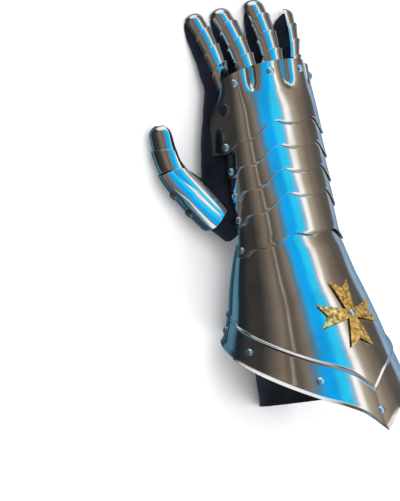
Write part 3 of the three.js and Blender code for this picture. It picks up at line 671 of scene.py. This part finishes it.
def steel_plate(node, place, columns, rows):
    """Plate of polished steel with worn, rounded edges that stands for a CAD node."""
    obj = mesh_object(rename_node(node), *closed_sheet(place, columns, rows))
    round_edges(obj, "Worn edges", bpy.context.scene.gauntlet_sizes.edge_round)
    return dress(obj, bpy.data.materials["Polished mild steel"], "steel", node)


def evaluated_mesh(obj):
    """Plain mesh of an object with its modifiers."""
    graph = bpy.context.evaluated_depsgraph_get()
    return bpy.data.meshes.new_from_object(obj.evaluated_get(graph))


def bake_modifiers(obj):
    mesh = evaluated_mesh(obj)
    obj.modifiers.clear()
    obj.data = mesh
    return obj


def add_node(tree, kind, inputs=None, **settings):
    """Adds a node with its settings; an input is a value or the socket that feeds it."""
    node = tree.nodes.new(kind)
    for key, value in settings.items():
        setattr(node, key, value)
    for key, value in (inputs or {}).items():
        if isinstance(value, bpy.types.NodeSocket):
            tree.links.new(value, node.inputs[key])
        else:
            node.inputs[key].default_value = value
    return node


def calculate(tree, operation, *values, **settings):
    inputs = dict(enumerate(values))
    return add_node(tree, "ShaderNodeMath", inputs, operation=operation, **settings).outputs[0]


def spread(tree, value, low, high, start=0.0, end=1.0):
    """Takes a value's range from low to high over to the range from start to end."""
    inputs = {"Value": value, "From Min": low, "From Max": high, "To Min": start, "To Max": end}
    return add_node(tree, "ShaderNodeMapRange", inputs).outputs["Result"]


def mix_colours(tree, factor, first, second, **settings):
    inputs = {"Factor": factor, 6: first, 7: second}
    return add_node(tree, "ShaderNodeMix", inputs, data_type="RGBA", **settings).outputs[2]


def ramp(tree, value, stops):
    node = add_node(tree, "ShaderNodeValToRGB", {"Fac": value})
    band = node.color_ramp
    while len(band.elements) < len(stops):
        band.elements.new(0.5)
    for element, (place, colour) in zip(band.elements, stops):
        element.position = place
        element.color = opaque(colour)
    return node.outputs["Color"]


def new_material(name):
    material = bpy.data.materials.new(name)
    material.use_nodes = True
    tree = material.node_tree
    tree.nodes.clear()
    shader = add_node(tree, "ShaderNodeBsdfPrincipled")
    output = add_node(tree, "ShaderNodeOutputMaterial")
    tree.links.new(shader.outputs["BSDF"], output.inputs["Surface"])
    return material, tree, shader


def stretched_noise(tree, vector, scale, detail=2.0):
    """Noise with its own size along each axis, in features per metre."""
    mapping = add_node(tree, "ShaderNodeMapping", {"Vector": vector, "Scale": scale})
    inputs = {"Vector": mapping.outputs["Vector"], "Scale": 1.0, "Detail": detail}
    return add_node(tree, "ShaderNodeTexNoise", inputs).outputs["Fac"]


def polished_metal(name, colour, stain, roughness, wobble):
    """Rolled and buffed sheet: long soft waves bend the reflections, fine polish lines run
    along the plate, and faint stains and finger marks dull it in patches."""
    material, tree, shader = new_material(name)
    spot = add_node(tree, "ShaderNodeTexCoord").outputs["Object"]
    waves = stretched_noise(tree, spot, (70, 8, 70), 1.0)
    lines = stretched_noise(tree, spot, (700, 30, 700), 3.0)
    marks = stretched_noise(tree, spot, (45, 30, 45), 5.0)
    specks = stretched_noise(tree, spot, (900, 900, 900), 2.0)
    first = add_node(tree, "ShaderNodeBump", {"Height": waves, "Strength": 1.0, "Distance": wobble})
    second = add_node(tree, "ShaderNodeBump", {
        "Height": lines, "Strength": 0.25, "Distance": 0.01 * MM, "Normal": first.outputs["Normal"],
    })
    patch = spread(tree, marks, 0.45, 0.75)
    tint = mix_colours(tree, patch, opaque(colour), opaque(stain))
    dull = spread(tree, lines, 0.3, 0.7, roughness * 0.8, roughness * 1.3)
    gritty = calculate(tree, "MULTIPLY_ADD", specks, 0.03, dull)
    worn = calculate(tree, "MULTIPLY_ADD", patch, 0.04, gritty)
    tree.links.new(tint, shader.inputs["Base Color"])
    tree.links.new(worn, shader.inputs["Roughness"])
    tree.links.new(second.outputs["Normal"], shader.inputs["Normal"])
    shader.inputs["Metallic"].default_value = 1.0
    return material


def mottled_brass(name, light, dark):
    """Hand-cut brass sheet: cloudy golden patches and a lightly pebbled surface."""
    material, tree, shader = new_material(name)
    spot = add_node(tree, "ShaderNodeTexCoord").outputs["Object"]
    clouds = stretched_noise(tree, spot, (300, 300, 300), 4.0)
    pebbles = add_node(tree, "ShaderNodeTexVoronoi", {"Vector": spot, "Scale": 420.0})
    colour = ramp(tree, clouds, [(0.36, dark), (0.5, light), (0.66, linear("#FFE7A8"))])
    dents = add_node(tree, "ShaderNodeBump", {
        "Height": pebbles.outputs["Distance"], "Strength": 0.5, "Distance": 0.12 * MM,
    })
    tree.links.new(colour, shader.inputs["Base Color"])
    tree.links.new(spread(tree, clouds, 0.3, 0.7, 0.48, 0.28), shader.inputs["Roughness"])
    tree.links.new(dents.outputs["Normal"], shader.inputs["Normal"])
    shader.inputs["Metallic"].default_value = 0.7
    return material


def brushed_suede(name, colour, light):
    """Split leather with a short nap: dark and matt, paler where the nap is ruffled."""
    material, tree, shader = new_material(name)
    spot = add_node(tree, "ShaderNodeTexCoord").outputs["Object"]
    nap = stretched_noise(tree, spot, (1100, 700, 1100), 4.0)
    patches = stretched_noise(tree, spot, (55, 40, 55), 3.0)
    colour_of = ramp(tree, patches, [(0.35, colour), (0.72, light)])
    pile = add_node(tree, "ShaderNodeBump", {"Height": nap, "Strength": 0.6, "Distance": 0.25 * MM})
    tree.links.new(colour_of, shader.inputs["Base Color"])
    tree.links.new(pile.outputs["Normal"], shader.inputs["Normal"])
    shader.inputs["Roughness"].default_value = 0.92
    shader.inputs["Specular IOR Level"].default_value = 0.25
    shader.inputs["Sheen Weight"].default_value = 0.25
    shader.inputs["Sheen Roughness"].default_value = 0.5
    shader.inputs["Sheen Tint"].default_value = opaque(linear("#6E86A8"))
    return material


def length_property(name, description, value, least, most):
    """A length in the panel, given in millimetres."""
    return FloatProperty(
        name=name, description=description, default=value * MM, min=least * MM, max=most * MM,
        unit="LENGTH", precision=5,
    )


class GauntletSizes(bpy.types.PropertyGroup):
    edge_round: length_property(
        "Edge rounding", "Radius worn on the plates' cut edges", 0.55, 0.05, 0.6,
    )
    rivet_radius: length_property("Rivet radius", "Radius of a domed rivet head", 3.6, 1, 8)
    rivet_rise: length_property("Rivet rise", "Height of a domed rivet head", 2.2, 0.5, 5)
    flat_rivet_radius: length_property(
        "Side rivet radius", "Radius of the flat rivet on the hand plate", 5.8, 1, 8,
    )
    thumb_rivet_radius: length_property(
        "Thumb rivet radius", "Radius of the flat rivets on the thumb", 4.2, 1, 8,
    )
    flat_rivet_rise: length_property("Flat rivet rise", "Height of a flat rivet head", 1.4, 0.5, 4)
    leather: length_property("Leather", "Thickness of the glove's leather", 2, 1, 3)
    glove_detail: length_property(
        "Glove detail", "Size of the cells that the glove is made from", 1.9, 1.2, 6,
    )
    rivet_sides: IntProperty(
        name="Rivet sides", description="Faces round a rivet head", default=32, min=8, max=64,
    )


def colour_property(name, description, code):
    return FloatVectorProperty(
        name=name, description=description, default=linear(code), subtype="COLOR", min=0, max=1,
    )


class GauntletColours(bpy.types.PropertyGroup):
    steel: colour_property("Steel", "Buffed mild steel", "#E4E1DC")
    stain: colour_property("Stain", "Finger marks and faint rust on the steel", "#CFC8BE")
    # Domed rivets: bright steel, with a painted blue reflection tint mixed into their pale blue-white
    # colour
    rivet: colour_property("Rivets", "Bright domed rivets", "#DDF2F8")
    dark_rivet: colour_property("Dark rivets", "Flat darkened rivets", "#7C7672")
    brass: colour_property("Brass", "Golden brass of the cross", "#E3B155")
    old_brass: colour_property("Old brass", "Duller patches of the brass", "#9A7436")
    suede: colour_property("Suede", "Black suede of the glove", "#07090E")
    nap: colour_property("Nap", "Suede where the nap is ruffled", "#131A26")
    floor: colour_property("Floor", "Pale studio floor", "#FFFFFF")


class GAUNTLET_OT_materials(bpy.types.Operator):
    """Makes the finishes: steel, rivets, brass and suede"""

    bl_idname = "gauntlet.materials"
    bl_label = "Make finishes"

    def execute(self, context):
        c = context.scene.gauntlet_colours
        polished_metal("Polished mild steel", c.steel, c.stain, 0.075, 0.12 * MM)
        # The domed rivets' pale blue-white colour is bright steel plus a painted blue reflection tint
        polished_metal("Bright steel rivet with painted blue tint", c.rivet, c.steel, 0.2, 0.02 * MM)
        polished_metal("Darkened steel rivet", c.dark_rivet, c.stain, 0.34, 0.02 * MM)
        mottled_brass("Mottled brass sheet", c.brass, c.old_brass)
        brushed_suede("Black suede", c.suede, c.nap)
        return {"FINISHED"}


class GAUNTLET_OT_hand_plate(bpy.types.Operator):
    """Plate over the back of the hand, with its knuckle lobes and valleys"""

    bl_idname = "gauntlet.hand_plate"
    bl_label = "Hand plate"

    def execute(self, context):
        steel_plate("hand_plate", hand_point, 260, 90)
        return {"FINISHED"}


class GAUNTLET_OT_wrist_lames(bpy.types.Operator):
    """Wavy lames that overlap over the wrist"""

    bl_idname = "gauntlet.wrist_lames"
    bl_label = "Wrist lames"

    def execute(self, context):
        for k in range(1, LAME_COUNT + 1):
            def place(u, v, face, k=k):
                return lame_point(k, u, v, face)
            steel_plate(f"wrist_lame_{k}", place, 240, 24)
        return {"FINISHED"}


class GAUNTLET_OT_cuff(bpy.types.Operator):
    """Flared cuff: main plate with band, ridge and lip, and the plate under the arm"""

    bl_idname = "gauntlet.cuff"
    bl_label = "Cuff"

    def execute(self, context):
        first, last = BACK - CUFF_SEAM_TURN, BACK + CUFF_SEAM_TURN

        def main_place(u, v, face):
            return cuff_point(first, last, 0, main_front, u, v, face)

        def under_place(u, v, face):
            start, end = last - CUFF_SEAM_LAP, first + 360 + CUFF_SEAM_LAP
            return cuff_point(start, end, STEEL + CLEARANCE, under_front, u, v, face)

        steel_plate("cuff_plate", main_place, 300, 120)
        steel_plate("cuff_under_plate", under_place, 260, 100)
        return {"FINISHED"}


class GAUNTLET_OT_finger_plates(bpy.types.Operator):
    """Half tubes over the fingers, each over the next one towards the tip"""

    bl_idname = "gauntlet.finger_plates"
    bl_label = "Finger plates"

    def execute(self, context):
        for name, row in FINGERS.items():
            finger = Finger(row)
            for k in range(FINGER_PLATES):
                def place(u, v, face, k=k, finger=finger):
                    return finger_plate_point(finger, k, u, v, face)
                steel_plate(f"{name}_finger_plate_{k + 1}", place, 56, 28)
        return {"FINISHED"}


class GAUNTLET_OT_thumb_plates(bpy.types.Operator):
    """Ridged plate over the thumb's root and two half tubes over its joints"""

    bl_idname = "gauntlet.thumb_plates"
    bl_label = "Thumb plates"

    def execute(self, context):
        steel_plate("thumb_base_plate", thumb_base_point, 100, 48)
        for k, name in enumerate(("thumb_middle_plate", "thumb_tip_plate")):
            def place(u, v, face, k=k):
                return thumb_plate_point(k, u, v, face)
            steel_plate(name, place, 64, 32)
        return {"FINISHED"}


def ring_points(centre, along, face, radii, sides):
    turn = np.linspace(0, 2 * np.pi, sides, endpoint=False)
    side = unit(np.cross(along, face))
    up = unit(np.cross(side, along))
    return centre + np.cos(turn)[:, None] * side * radii[0] + np.sin(turn)[:, None] * up * radii[1]


def closed_loft(rings):
    sides = len(rings[0])
    faces = []
    for j in range(len(rings) - 1):
        for i in range(sides):
            a, b = j * sides + i, j * sides + (i + 1) % sides
            faces.append((a, b, b + sides, a + sides))
    end = (len(rings) - 1) * sides
    faces.append(tuple(reversed(range(sides))))
    faces.append(tuple(range(end, end + sides)))
    return placed(np.vstack(rings)), faces


def glove_ring(along, sides=72):
    """Ring of the glove's body at a station, as a share of the hand or the cloth cuff."""
    y = along * (HAND_LENGTH if along > 0 else GLOVE_CUFF_LENGTH)
    width, height, centre = form(y)
    top = centre + follow(GLOVE_SECTIONS, "rise", along) * (height - GLOVE_EASE)
    bottom = centre - follow(GLOVE_SECTIONS, "drop", along) * height
    middle = np.array([follow(GLOVE_SECTIONS, "shift", along) * HEM_WIDTH, y, (top + bottom) / 2])
    radii = (follow(GLOVE_SECTIONS, "width", along) * width, (top - bottom) / 2)
    return ring_points(middle, np.array([0, 1, 0]), np.array([0, 0, 1]), radii, sides)


def finger_loft(finger):
    root = finger.at(0) - finger.along(0) * FINGER_ROOT_DEPTH
    radii = (FINGER_ROOT_RADIUS, FINGER_ROOT_RADIUS)
    rings = [ring_points(root, finger.along(0), finger.face, radii, 32)]
    for share in 1 - (1 - np.linspace(0, 1, 40)) ** 1.6:
        radius = max(finger.radius(min(share, 0.995)) - GLOVE_EASE, 1 * MM)
        rings.append(ring_points(finger.at(share), finger.along(share), finger.face, (radius,) * 2, 32))
    return closed_loft(rings)


def thumb_loft():
    rings = []
    for share in 1 - (1 - np.linspace(0, 1, 50)) ** 1.5:
        centre, along, face, radius = thumb_at(share)
        size = max(radius * thumb_end(min(share, 0.99)) - GLOVE_EASE, 1 * MM)
        rings.append(ring_points(centre, along, face, (size, size), 40))
    return closed_loft(rings)


def side_loft(rows):
    """Roll of leather through a few centres, with a radius at each."""
    rows = np.array(rows) * MM
    stops = np.linspace(0, len(rows) - 1, 8 * len(rows))
    x, y, z, radii = (np.interp(stops, np.arange(len(rows)), column) for column in rows.T)
    face = np.array([0, 0, 1])
    rings = [
        ring_points(np.array(spot), np.array([0, 1, 0]), face, (radius, radius), 24)
        for *spot, radius in zip(x, y, z, radii)
    ]
    return closed_loft(rings)


def joined_pieces(name, pieces):
    points, faces, count = [], [], 0
    for piece_points, piece_faces in pieces:
        points.append(piece_points)
        faces += [tuple(i + count for i in face) for face in piece_faces]
        count += len(piece_points)
    return mesh_object(name, np.vstack(points), faces)


def crease(obj):
    """Soft wrinkles pressed into the leather, and a flat underside where it rests."""
    mesh = obj.data
    normals = [v.normal.copy() for v in mesh.vertices]
    for vertex, normal in zip(mesh.vertices, normals):
        spot = vertex.co / MM
        fold = noise.noise(Vector([at / size for at, size in zip(spot, FOLD_SIZES)]))
        place = Vector([at / size for at, size in zip(spot, DRAPE_SIZES)])
        drape = noise.noise(place + Vector((7, 3, 5)))
        depth = 0.5 * (1 + fold) * FOLD_DEPTH + 0.5 * (1 + drape) * DRAPE_DEPTH
        vertex.co -= normal * depth * MM
        vertex.co.z = max(vertex.co.z, 0.05 * MM)


class GAUNTLET_OT_glove(bpy.types.Operator):
    """Suede glove with its cloth cuff, hollow and open at the hem"""

    bl_idname = "gauntlet.glove"
    bl_label = "Suede glove"

    def execute(self, context):
        sizes = context.scene.gauntlet_sizes
        first, last = (GLOVE_SECTIONS["rows"][end][0] for end in (0, -1))
        body = closed_loft([glove_ring(a) for a in np.linspace(first, last, 70)])
        fingers = [finger_loft(Finger(row)) for row in FINGERS.values()]
        sides = [side_loft(rows) for rows in SIDE_LEATHER]
        obj = joined_pieces(rename_node("leather_glove"), [body, thumb_loft(), *fingers, *sides])
        cells = obj.modifiers.new("Cells", "REMESH")
        cells.mode = "VOXEL"
        cells.voxel_size = sizes.glove_detail * 1
        ease = obj.modifiers.new("Ease", "SMOOTH")
        ease.factor, ease.iterations = 0.5, 4
        bake_modifiers(obj)
        crease(obj)
        hem = placed(np.array([0, -GLOVE_CUFF_LENGTH, 0]))[0]
        shape = bmesh.new()
        shape.from_mesh(obj.data)
        everything = shape.verts[:] + shape.edges[:] + shape.faces[:]
        bmesh.ops.bisect_plane(
            shape, geom=everything, plane_co=hem, plane_no=LEVEL @ np.array([0, -1, 0]),
            clear_outer=True,
        )
        shape.to_mesh(obj.data)
        shape.free()
        obj.data.shade_smooth()
        wall = obj.modifiers.new("Leather", "SOLIDIFY")
        wall.thickness = sizes.leather
        wall.offset = -1
        bake_modifiers(obj)
        sewn = [f"{name}_finger_leather" for name in FINGERS]
        sewn += ["leather_glove", "glove_cuff", "glove_hem", "thumb_leather"]
        dress(obj, bpy.data.materials["Black suede"], "leather", *sewn)
        return {"FINISHED"}


def cross_outline(points_per_edge):
    arms = []
    for arm in range(4):
        turn = -arm * math.pi / 2
        spin = np.array([[math.cos(turn), -math.sin(turn)], [math.sin(turn), math.cos(turn)]])
        arms += [spin @ np.array(corner) for corner in CROSS_ARM]
    corners = np.array(arms) * CROSS_SPAN / 2
    steps = np.linspace(0, 1, points_per_edge, endpoint=False)
    edges = [a + (b - a) * t for a, b in zip(corners, np.roll(corners, -1, axis=0)) for t in steps]
    return np.array(edges)


def cross_surface(spots, out):
    turn = BACK - np.degrees(spots[:, 0] / form(-CROSS_STATION)[0])
    y = spots[:, 1] - CROSS_STATION
    return placed(skin(turn, y, cuff_out(turn, y) + SEAT + CROSS_EASE + out))


class GAUNTLET_OT_cross(bpy.types.Operator):
    """Brass cross with forked arms, bent to the cuff"""

    bl_idname = "gauntlet.cross"
    bl_label = "Brass cross"

    def execute(self, context):
        outline = cross_outline(8)
        count = len(outline)
        rings = 14
        spots = np.vstack([np.zeros((1, 2))] + [outline * (j / rings) for j in range(1, rings + 1)])
        points = np.vstack((cross_surface(spots, BRASS), cross_surface(spots, 0)))
        under = len(spots)
        faces = []
        for i in range(count):
            n = (i + 1) % count
            faces += [(0, 1 + i, 1 + n), (under, under + 1 + n, under + 1 + i)]
            for j in range(rings - 1):
                a, b = 1 + j * count + i, 1 + j * count + n
                faces.append((a, a + count, b + count, b))
                faces.append((under + b, under + b + count, under + a + count, under + a))
            a, b = 1 + (rings - 1) * count + i, 1 + (rings - 1) * count + n
            faces.append((a, under + a, under + b, b))
        obj = mesh_object(rename_node("brass_cross"), points, faces)
        round_edges(obj, "Filed edges", BRASS_EDGE)
        dress(obj, bpy.data.materials["Mottled brass sheet"], "brass", "brass_cross")
        return {"FINISHED"}


def seat(surface, turn, station, step):
    """A place on a plate and the direction out from it, both in the frame."""
    at = surface(turn, station, 0.0)
    round_it = surface(turn + 2, station, 0.0) - surface(turn - 2, station, 0.0)
    along = surface(turn, station + step, 0.0) - surface(turn, station - step, 0.0)
    normal = unit(np.cross(round_it, along))
    out = surface(turn, station, 1 * MM) - at
    normal = normal * np.sign(np.dot(normal, out))
    return placed(at)[0], LEVEL @ normal


def hand_face(turn, y, out):
    return skin(turn, y, hand_out(turn, y) + SEAT + out)


def side_seat(turn, y, out):
    return hand_face(turn, y, out + SIDE_RIVET_EASE)


def cuff_face(turn, y, out):
    return skin(turn, y, cuff_out(turn, y) + SEAT + out)


def under_face(turn, y, out):
    return cuff_face(turn, y, out - SEAT)


def cross_face(turn, y, out):
    return cuff_face(turn, y, out + CROSS_EASE + BRASS + CLEARANCE)


def lame_face(k):
    return lambda turn, y, out: skin(turn, y, step_out(k, y) + SEAT + out)


def thumb_face(turn, stop, out):
    return thumb_base_at(np.array(float(turn)), np.array(float(stop)), SEAT + out)


def bright_rivet_seats():
    """CAD node and seat of each domed rivet."""
    seats = {"cross_rivet": seat(cross_face, BACK, -CROSS_STATION, MM)}
    for name, turn in KNUCKLE_RIVET_TURNS.items():
        y = knuckle_edge(turn) - KNUCKLE_RIVET_INSET
        seats[f"{name}_knuckle_rivet"] = seat(hand_face, turn, y, MM)
    for side, turn in (("thumb", BACK + EAR_TURN), ("little", BACK - EAR_TURN)):
        for k in range(LAME_COUNT + 1):
            surface = lame_face(k) if k else hand_face
            y = lower_edge(k, turn) + EAR_INSET
            seats[f"ear_rivet_{side}_{k + 1}"] = seat(surface, turn, y, MM)
    for i, turn in enumerate(BAND_RIVET_TURNS):
        surface = under_face if turn > BACK + CUFF_SEAM_TURN else cuff_face
        y = mouth(turn) + band_width(turn) / 2
        seats[f"band_rivet_{i + 1}"] = seat(surface, turn, y, MM)
    return seats


def rivet_tree():
    """Rivet heads on the points of a mesh, each turned to the point's own direction."""
    tree = bpy.data.node_groups.new("Rivet heads", "GeometryNodeTree")
    face = tree.interface
    face.new_socket("Geometry", in_out="OUTPUT", socket_type="NodeSocketGeometry")
    face.new_socket("Seats", in_out="INPUT", socket_type="NodeSocketGeometry")
    for name in ("Radius", "Rise", "Squareness"):
        face.new_socket(name, in_out="INPUT", socket_type="NodeSocketFloat")
    face.new_socket("Sides", in_out="INPUT", socket_type="NodeSocketInt")
    face.new_socket("Finish", in_out="INPUT", socket_type="NodeSocketMaterial")
    given = add_node(tree, "NodeGroupInput").outputs
    head = add_node(tree, "GeometryNodeMeshCone", {
        "Vertices": given["Sides"], "Side Segments": 14, "Fill Segments": 1,
        "Radius Top": 0.02 * MM, "Radius Bottom": given["Radius"], "Depth": given["Rise"],
    }, fill_type="NGON")
    spot = add_node(tree, "GeometryNodeInputPosition").outputs[0]
    flat = add_node(tree, "ShaderNodeVectorMath", {0: spot, 1: (1, 1, 0)}, operation="MULTIPLY")
    far = add_node(tree, "ShaderNodeVectorMath", {0: flat.outputs[0]}, operation="LENGTH")
    share = calculate(tree, "DIVIDE", far.outputs["Value"], given["Radius"], use_clamp=True)
    power = calculate(tree, "POWER", share, given["Squareness"])
    root = calculate(tree, "SQRT", calculate(tree, "SUBTRACT", 1.0, power))
    high = calculate(tree, "MULTIPLY", root, given["Rise"])
    part = add_node(tree, "ShaderNodeSeparateXYZ", {0: spot})
    dome = add_node(tree, "ShaderNodeCombineXYZ", {
        "X": part.outputs["X"], "Y": part.outputs["Y"], "Z": high,
    })
    shaped = add_node(tree, "GeometryNodeSetPosition", {
        "Geometry": head.outputs["Mesh"], "Position": dome.outputs[0],
    })
    soft = add_node(tree, "GeometryNodeSetShadeSmooth", {"Geometry": shaped.outputs[0]})
    out = add_node(tree, "GeometryNodeInputNamedAttribute", {"Name": "out"}, data_type="FLOAT_VECTOR")
    turned = add_node(tree, "FunctionNodeAlignRotationToVector", {
        "Vector": out.outputs["Attribute"],
    }, axis="Z")
    copies = add_node(tree, "GeometryNodeInstanceOnPoints", {
        "Points": given["Seats"], "Instance": soft.outputs[0], "Rotation": turned.outputs[0],
    })
    real = add_node(tree, "GeometryNodeRealizeInstances", {"Geometry": copies.outputs[0]})
    done = add_node(tree, "GeometryNodeSetMaterial", {
        "Geometry": real.outputs[0], "Material": given["Finish"],
    })
    add_node(tree, "NodeGroupOutput", {"Geometry": done.outputs[0]})
    return tree


def set_inputs(modifier, values):
    """Sets a Geometry Nodes modifier's inputs by the names of its sockets."""
    for item in modifier.node_group.interface.items_tree:
        if item.item_type == "SOCKET" and item.in_out == "INPUT" and item.name in values:
            modifier[item.identifier] = values[item.name]


def rivet_group(name, seats, radius, rise, squareness, material, slot):
    """One mesh of rivet heads that stands for the rivets' CAD nodes."""
    mesh = bpy.data.meshes.new(name)
    mesh.from_pydata([tuple(at) for at, _ in seats.values()], [], [])
    out = mesh.attributes.new("out", "FLOAT_VECTOR", "POINT")
    out.data.foreach_set("vector", np.array([n for _, n in seats.values()], np.float32).ravel())
    obj = bpy.data.objects.new(name, mesh)
    bpy.context.scene.collection.objects.link(obj)
    tree = bpy.data.node_groups.get("Rivet heads") or rivet_tree()
    heads = obj.modifiers.new("Rivet heads", "NODES")
    heads.node_group = tree
    set_inputs(heads, {
        "Radius": radius, "Rise": rise, "Squareness": squareness, "Finish": material,
        "Sides": bpy.context.scene.gauntlet_sizes.rivet_sides,
    })
    bake_modifiers(obj)
    return dress(obj, material, slot, *seats)


class GAUNTLET_OT_rivets(bpy.types.Operator):
    """Domed and flat rivet heads of the whole gauntlet"""

    bl_idname = "gauntlet.rivets"
    bl_label = "Rivets"

    def execute(self, context):
        sizes = context.scene.gauntlet_sizes
        # Finish of the domed rivets; its colour holds a painted blue reflection tint over bright steel
        bright = bpy.data.materials["Bright steel rivet with painted blue tint"]
        dark = bpy.data.materials["Darkened steel rivet"]
        rivet_group(
            "bright_rivets", bright_rivet_seats(), sizes.rivet_radius, sizes.rivet_rise,
            DOMED, bright, "rivet_steel",
        )
        y = HAND_LENGTH * SIDE_RIVET_SHARE
        side = {"hand_side_rivet": seat(side_seat, SIDE_RIVET_TURN, y, MM)}
        rivet_group(
            "side_rivet", side, sizes.flat_rivet_radius, sizes.flat_rivet_rise,
            FLAT, dark, "dark_rivet",
        )
        thumb = {
            f"thumb_rivet_{i + 1}": seat(thumb_face, THUMB_RIVET_TURN, stop, 0.02)
            for i, stop in enumerate(THUMB_RIVET_STOPS)
        }
        rivet_group(
            "thumb_rivets", thumb, sizes.thumb_rivet_radius, sizes.flat_rivet_rise,
            FLAT, dark, "dark_rivet",
        )
        return {"FINISHED"}


def studio_surround(world, tilt):
    """Soft white room for the floor and the suede. In the steel it shows as long panels
    beside and over the arm: warm walls, a white strip and a blue one over the crest."""
    tree = world.node_tree
    tree.nodes.clear()
    ray = add_node(tree, "ShaderNodeTexCoord").outputs["Generated"]
    arm = add_node(tree, "ShaderNodeMapping", {"Vector": ray, "Rotation": (tilt, 0, 0)})
    part = add_node(tree, "ShaderNodeSeparateXYZ", {0: arm.outputs[0]}).outputs
    angle = calculate(tree, "ARCTAN2", part["Z"], part["X"])
    lean = calculate(tree, "MULTIPLY_ADD", part["Y"], -PANEL_LEAN, angle)
    share = calculate(tree, "MULTIPLY_ADD", lean, 1 / (2 * math.pi), 0.25)
    place = calculate(tree, "WRAP", share, 1.0, 0.0)
    stops = [((turn + 90) / 360, linear(ROOM_COLOURS[name])) for turn, name in ROOM_PANELS]
    room = ramp(tree, place, stops)
    ends = spread(tree, calculate(tree, "ABSOLUTE", part["Y"]), *END_WALLS)
    lit = mix_colours(tree, ends, room, END_WALL_COLOUR)
    strong = mix_colours(
        tree, 1.0, lit, (ROOM_GAIN, ROOM_GAIN, ROOM_GAIN, 1), blend_type="MULTIPLY",
        clamp_result=False,
    )
    seen = add_node(tree, "ShaderNodeLightPath").outputs["Is Glossy Ray"]
    mixed = mix_colours(tree, seen, ROOM_LIGHT, strong)
    light = add_node(tree, "ShaderNodeBackground", {"Color": mixed, "Strength": 1.0})
    add_node(tree, "ShaderNodeOutputWorld", {"Surface": light.outputs[0]})


def soft_light(name, place, target, width, power):
    """Large softbox aimed at the gauntlet; the steel doesn't mirror it."""
    data = bpy.data.lights.new(name, "AREA")
    data.size = width
    data.energy = power
    lamp = bpy.data.objects.new(name, data)
    lamp.location = place
    lamp.rotation_euler = (Vector(target) - Vector(place)).to_track_quat("-Z", "Y").to_euler()
    lamp.visible_glossy = False
    bpy.context.scene.collection.objects.link(lamp)


def photo_camera():
    """Camera that sees the wrist at its place in the photograph."""
    across = np.array([math.cos(VIEW_SIDE), 0, math.sin(VIEW_SIDE)])
    along = np.array([0, 1, 0])
    back = np.cross(across, along)
    right = across * math.cos(VIEW_ROLL) - along * math.sin(VIEW_ROLL)
    up = across * math.sin(VIEW_ROLL) + along * math.cos(VIEW_ROLL)
    centre = (PHOTO_WIDTH / 2 - WRIST_PIXEL[0]) * PIXEL * right
    centre = centre - (PHOTO_HEIGHT / 2 - WRIST_PIXEL[1]) * PIXEL * up
    distance = CAMERA_LENS / SENSOR * PHOTO_HEIGHT * PIXEL
    data = bpy.data.cameras.new("Photo camera")
    data.lens = CAMERA_LENS
    data.sensor_width = SENSOR
    camera = bpy.data.objects.new("Photo camera", data)
    turn = np.stack((LEVEL @ right, LEVEL @ up, LEVEL @ back), axis=1)
    place = placed(centre + back * distance)[0]
    camera.matrix_world = Matrix.Translation(place) @ Matrix(turn.tolist()).to_4x4()
    bpy.context.scene.collection.objects.link(camera)
    bpy.context.scene.camera = camera


class GAUNTLET_OT_stage(bpy.types.Operator):
    """Pale floor, soft light and the photograph's camera"""

    bl_idname = "gauntlet.stage"
    bl_label = "Stage"

    def execute(self, context):
        world = bpy.data.worlds.new("Studio")
        world.use_nodes = True
        context.scene.world = world
        studio_surround(world, REST_TILT)
        context.scene.view_settings.view_transform = "Standard"
        reach = 4.0
        corners = [(-reach, -reach), (reach, -reach), (reach, reach), (-reach, reach)]
        floor = mesh_object("floor", [(x, y, -0.1 * MM) for x, y in corners], [(0, 1, 2, 3)])
        floor.visible_glossy = False
        material, _, shader = new_material("Pale floor")
        shader.inputs["Base Color"].default_value = opaque(context.scene.gauntlet_colours.floor)
        shader.inputs["Roughness"].default_value = 0.8
        floor.data.materials.append(material)
        soft_light("Key", (-0.7, 0.5, 1.5), (0, 0, 0.05), 1.0, 14)
        soft_light("Fill", (0.9, -0.9, 1.2), (0, 0, 0.05), 1.2, 7)
        photo_camera()
        return {"FINISHED"}


class GAUNTLET_PT_panel(bpy.types.Panel):
    """Lists the steps that make the gauntlet"""

    bl_idname = "GAUNTLET_PT_panel"
    bl_label = "Gauntlet"
    bl_space_type = "VIEW_3D"
    bl_region_type = "UI"
    bl_category = "Gauntlet"

    def draw(self, context):
        for step in STEPS:
            self.layout.operator(step.bl_idname)
        for group in (context.scene.gauntlet_sizes, context.scene.gauntlet_colours):
            for name in group.bl_rna.properties.keys():
                if name not in ("rna_type", "name"):
                    self.layout.prop(group, name)


STEPS = (
    GAUNTLET_OT_materials,
    GAUNTLET_OT_hand_plate,
    GAUNTLET_OT_wrist_lames,
    GAUNTLET_OT_cuff,
    GAUNTLET_OT_finger_plates,
    GAUNTLET_OT_thumb_plates,
    GAUNTLET_OT_glove,
    GAUNTLET_OT_cross,
    GAUNTLET_OT_rivets,
    GAUNTLET_OT_stage,
)
CLASSES = (GauntletSizes, GauntletColours, *STEPS, GAUNTLET_PT_panel)


def register():
    for cls in CLASSES:
        bpy.utils.register_class(cls)
    bpy.types.Scene.gauntlet_sizes = PointerProperty(type=GauntletSizes)
    bpy.types.Scene.gauntlet_colours = PointerProperty(type=GauntletColours)


def unregister():
    del bpy.types.Scene.gauntlet_colours
    del bpy.types.Scene.gauntlet_sizes
    for cls in reversed(CLASSES):
        bpy.utils.unregister_class(cls)


def run_step(step):
    section, name = step.bl_idname.split(".")
    getattr(getattr(bpy.ops, section), name)()


def main():
    register()
    for step in STEPS:
        run_step(step)
    bpy.context.view_layer.update()


if __name__ == "__main__":
    main()
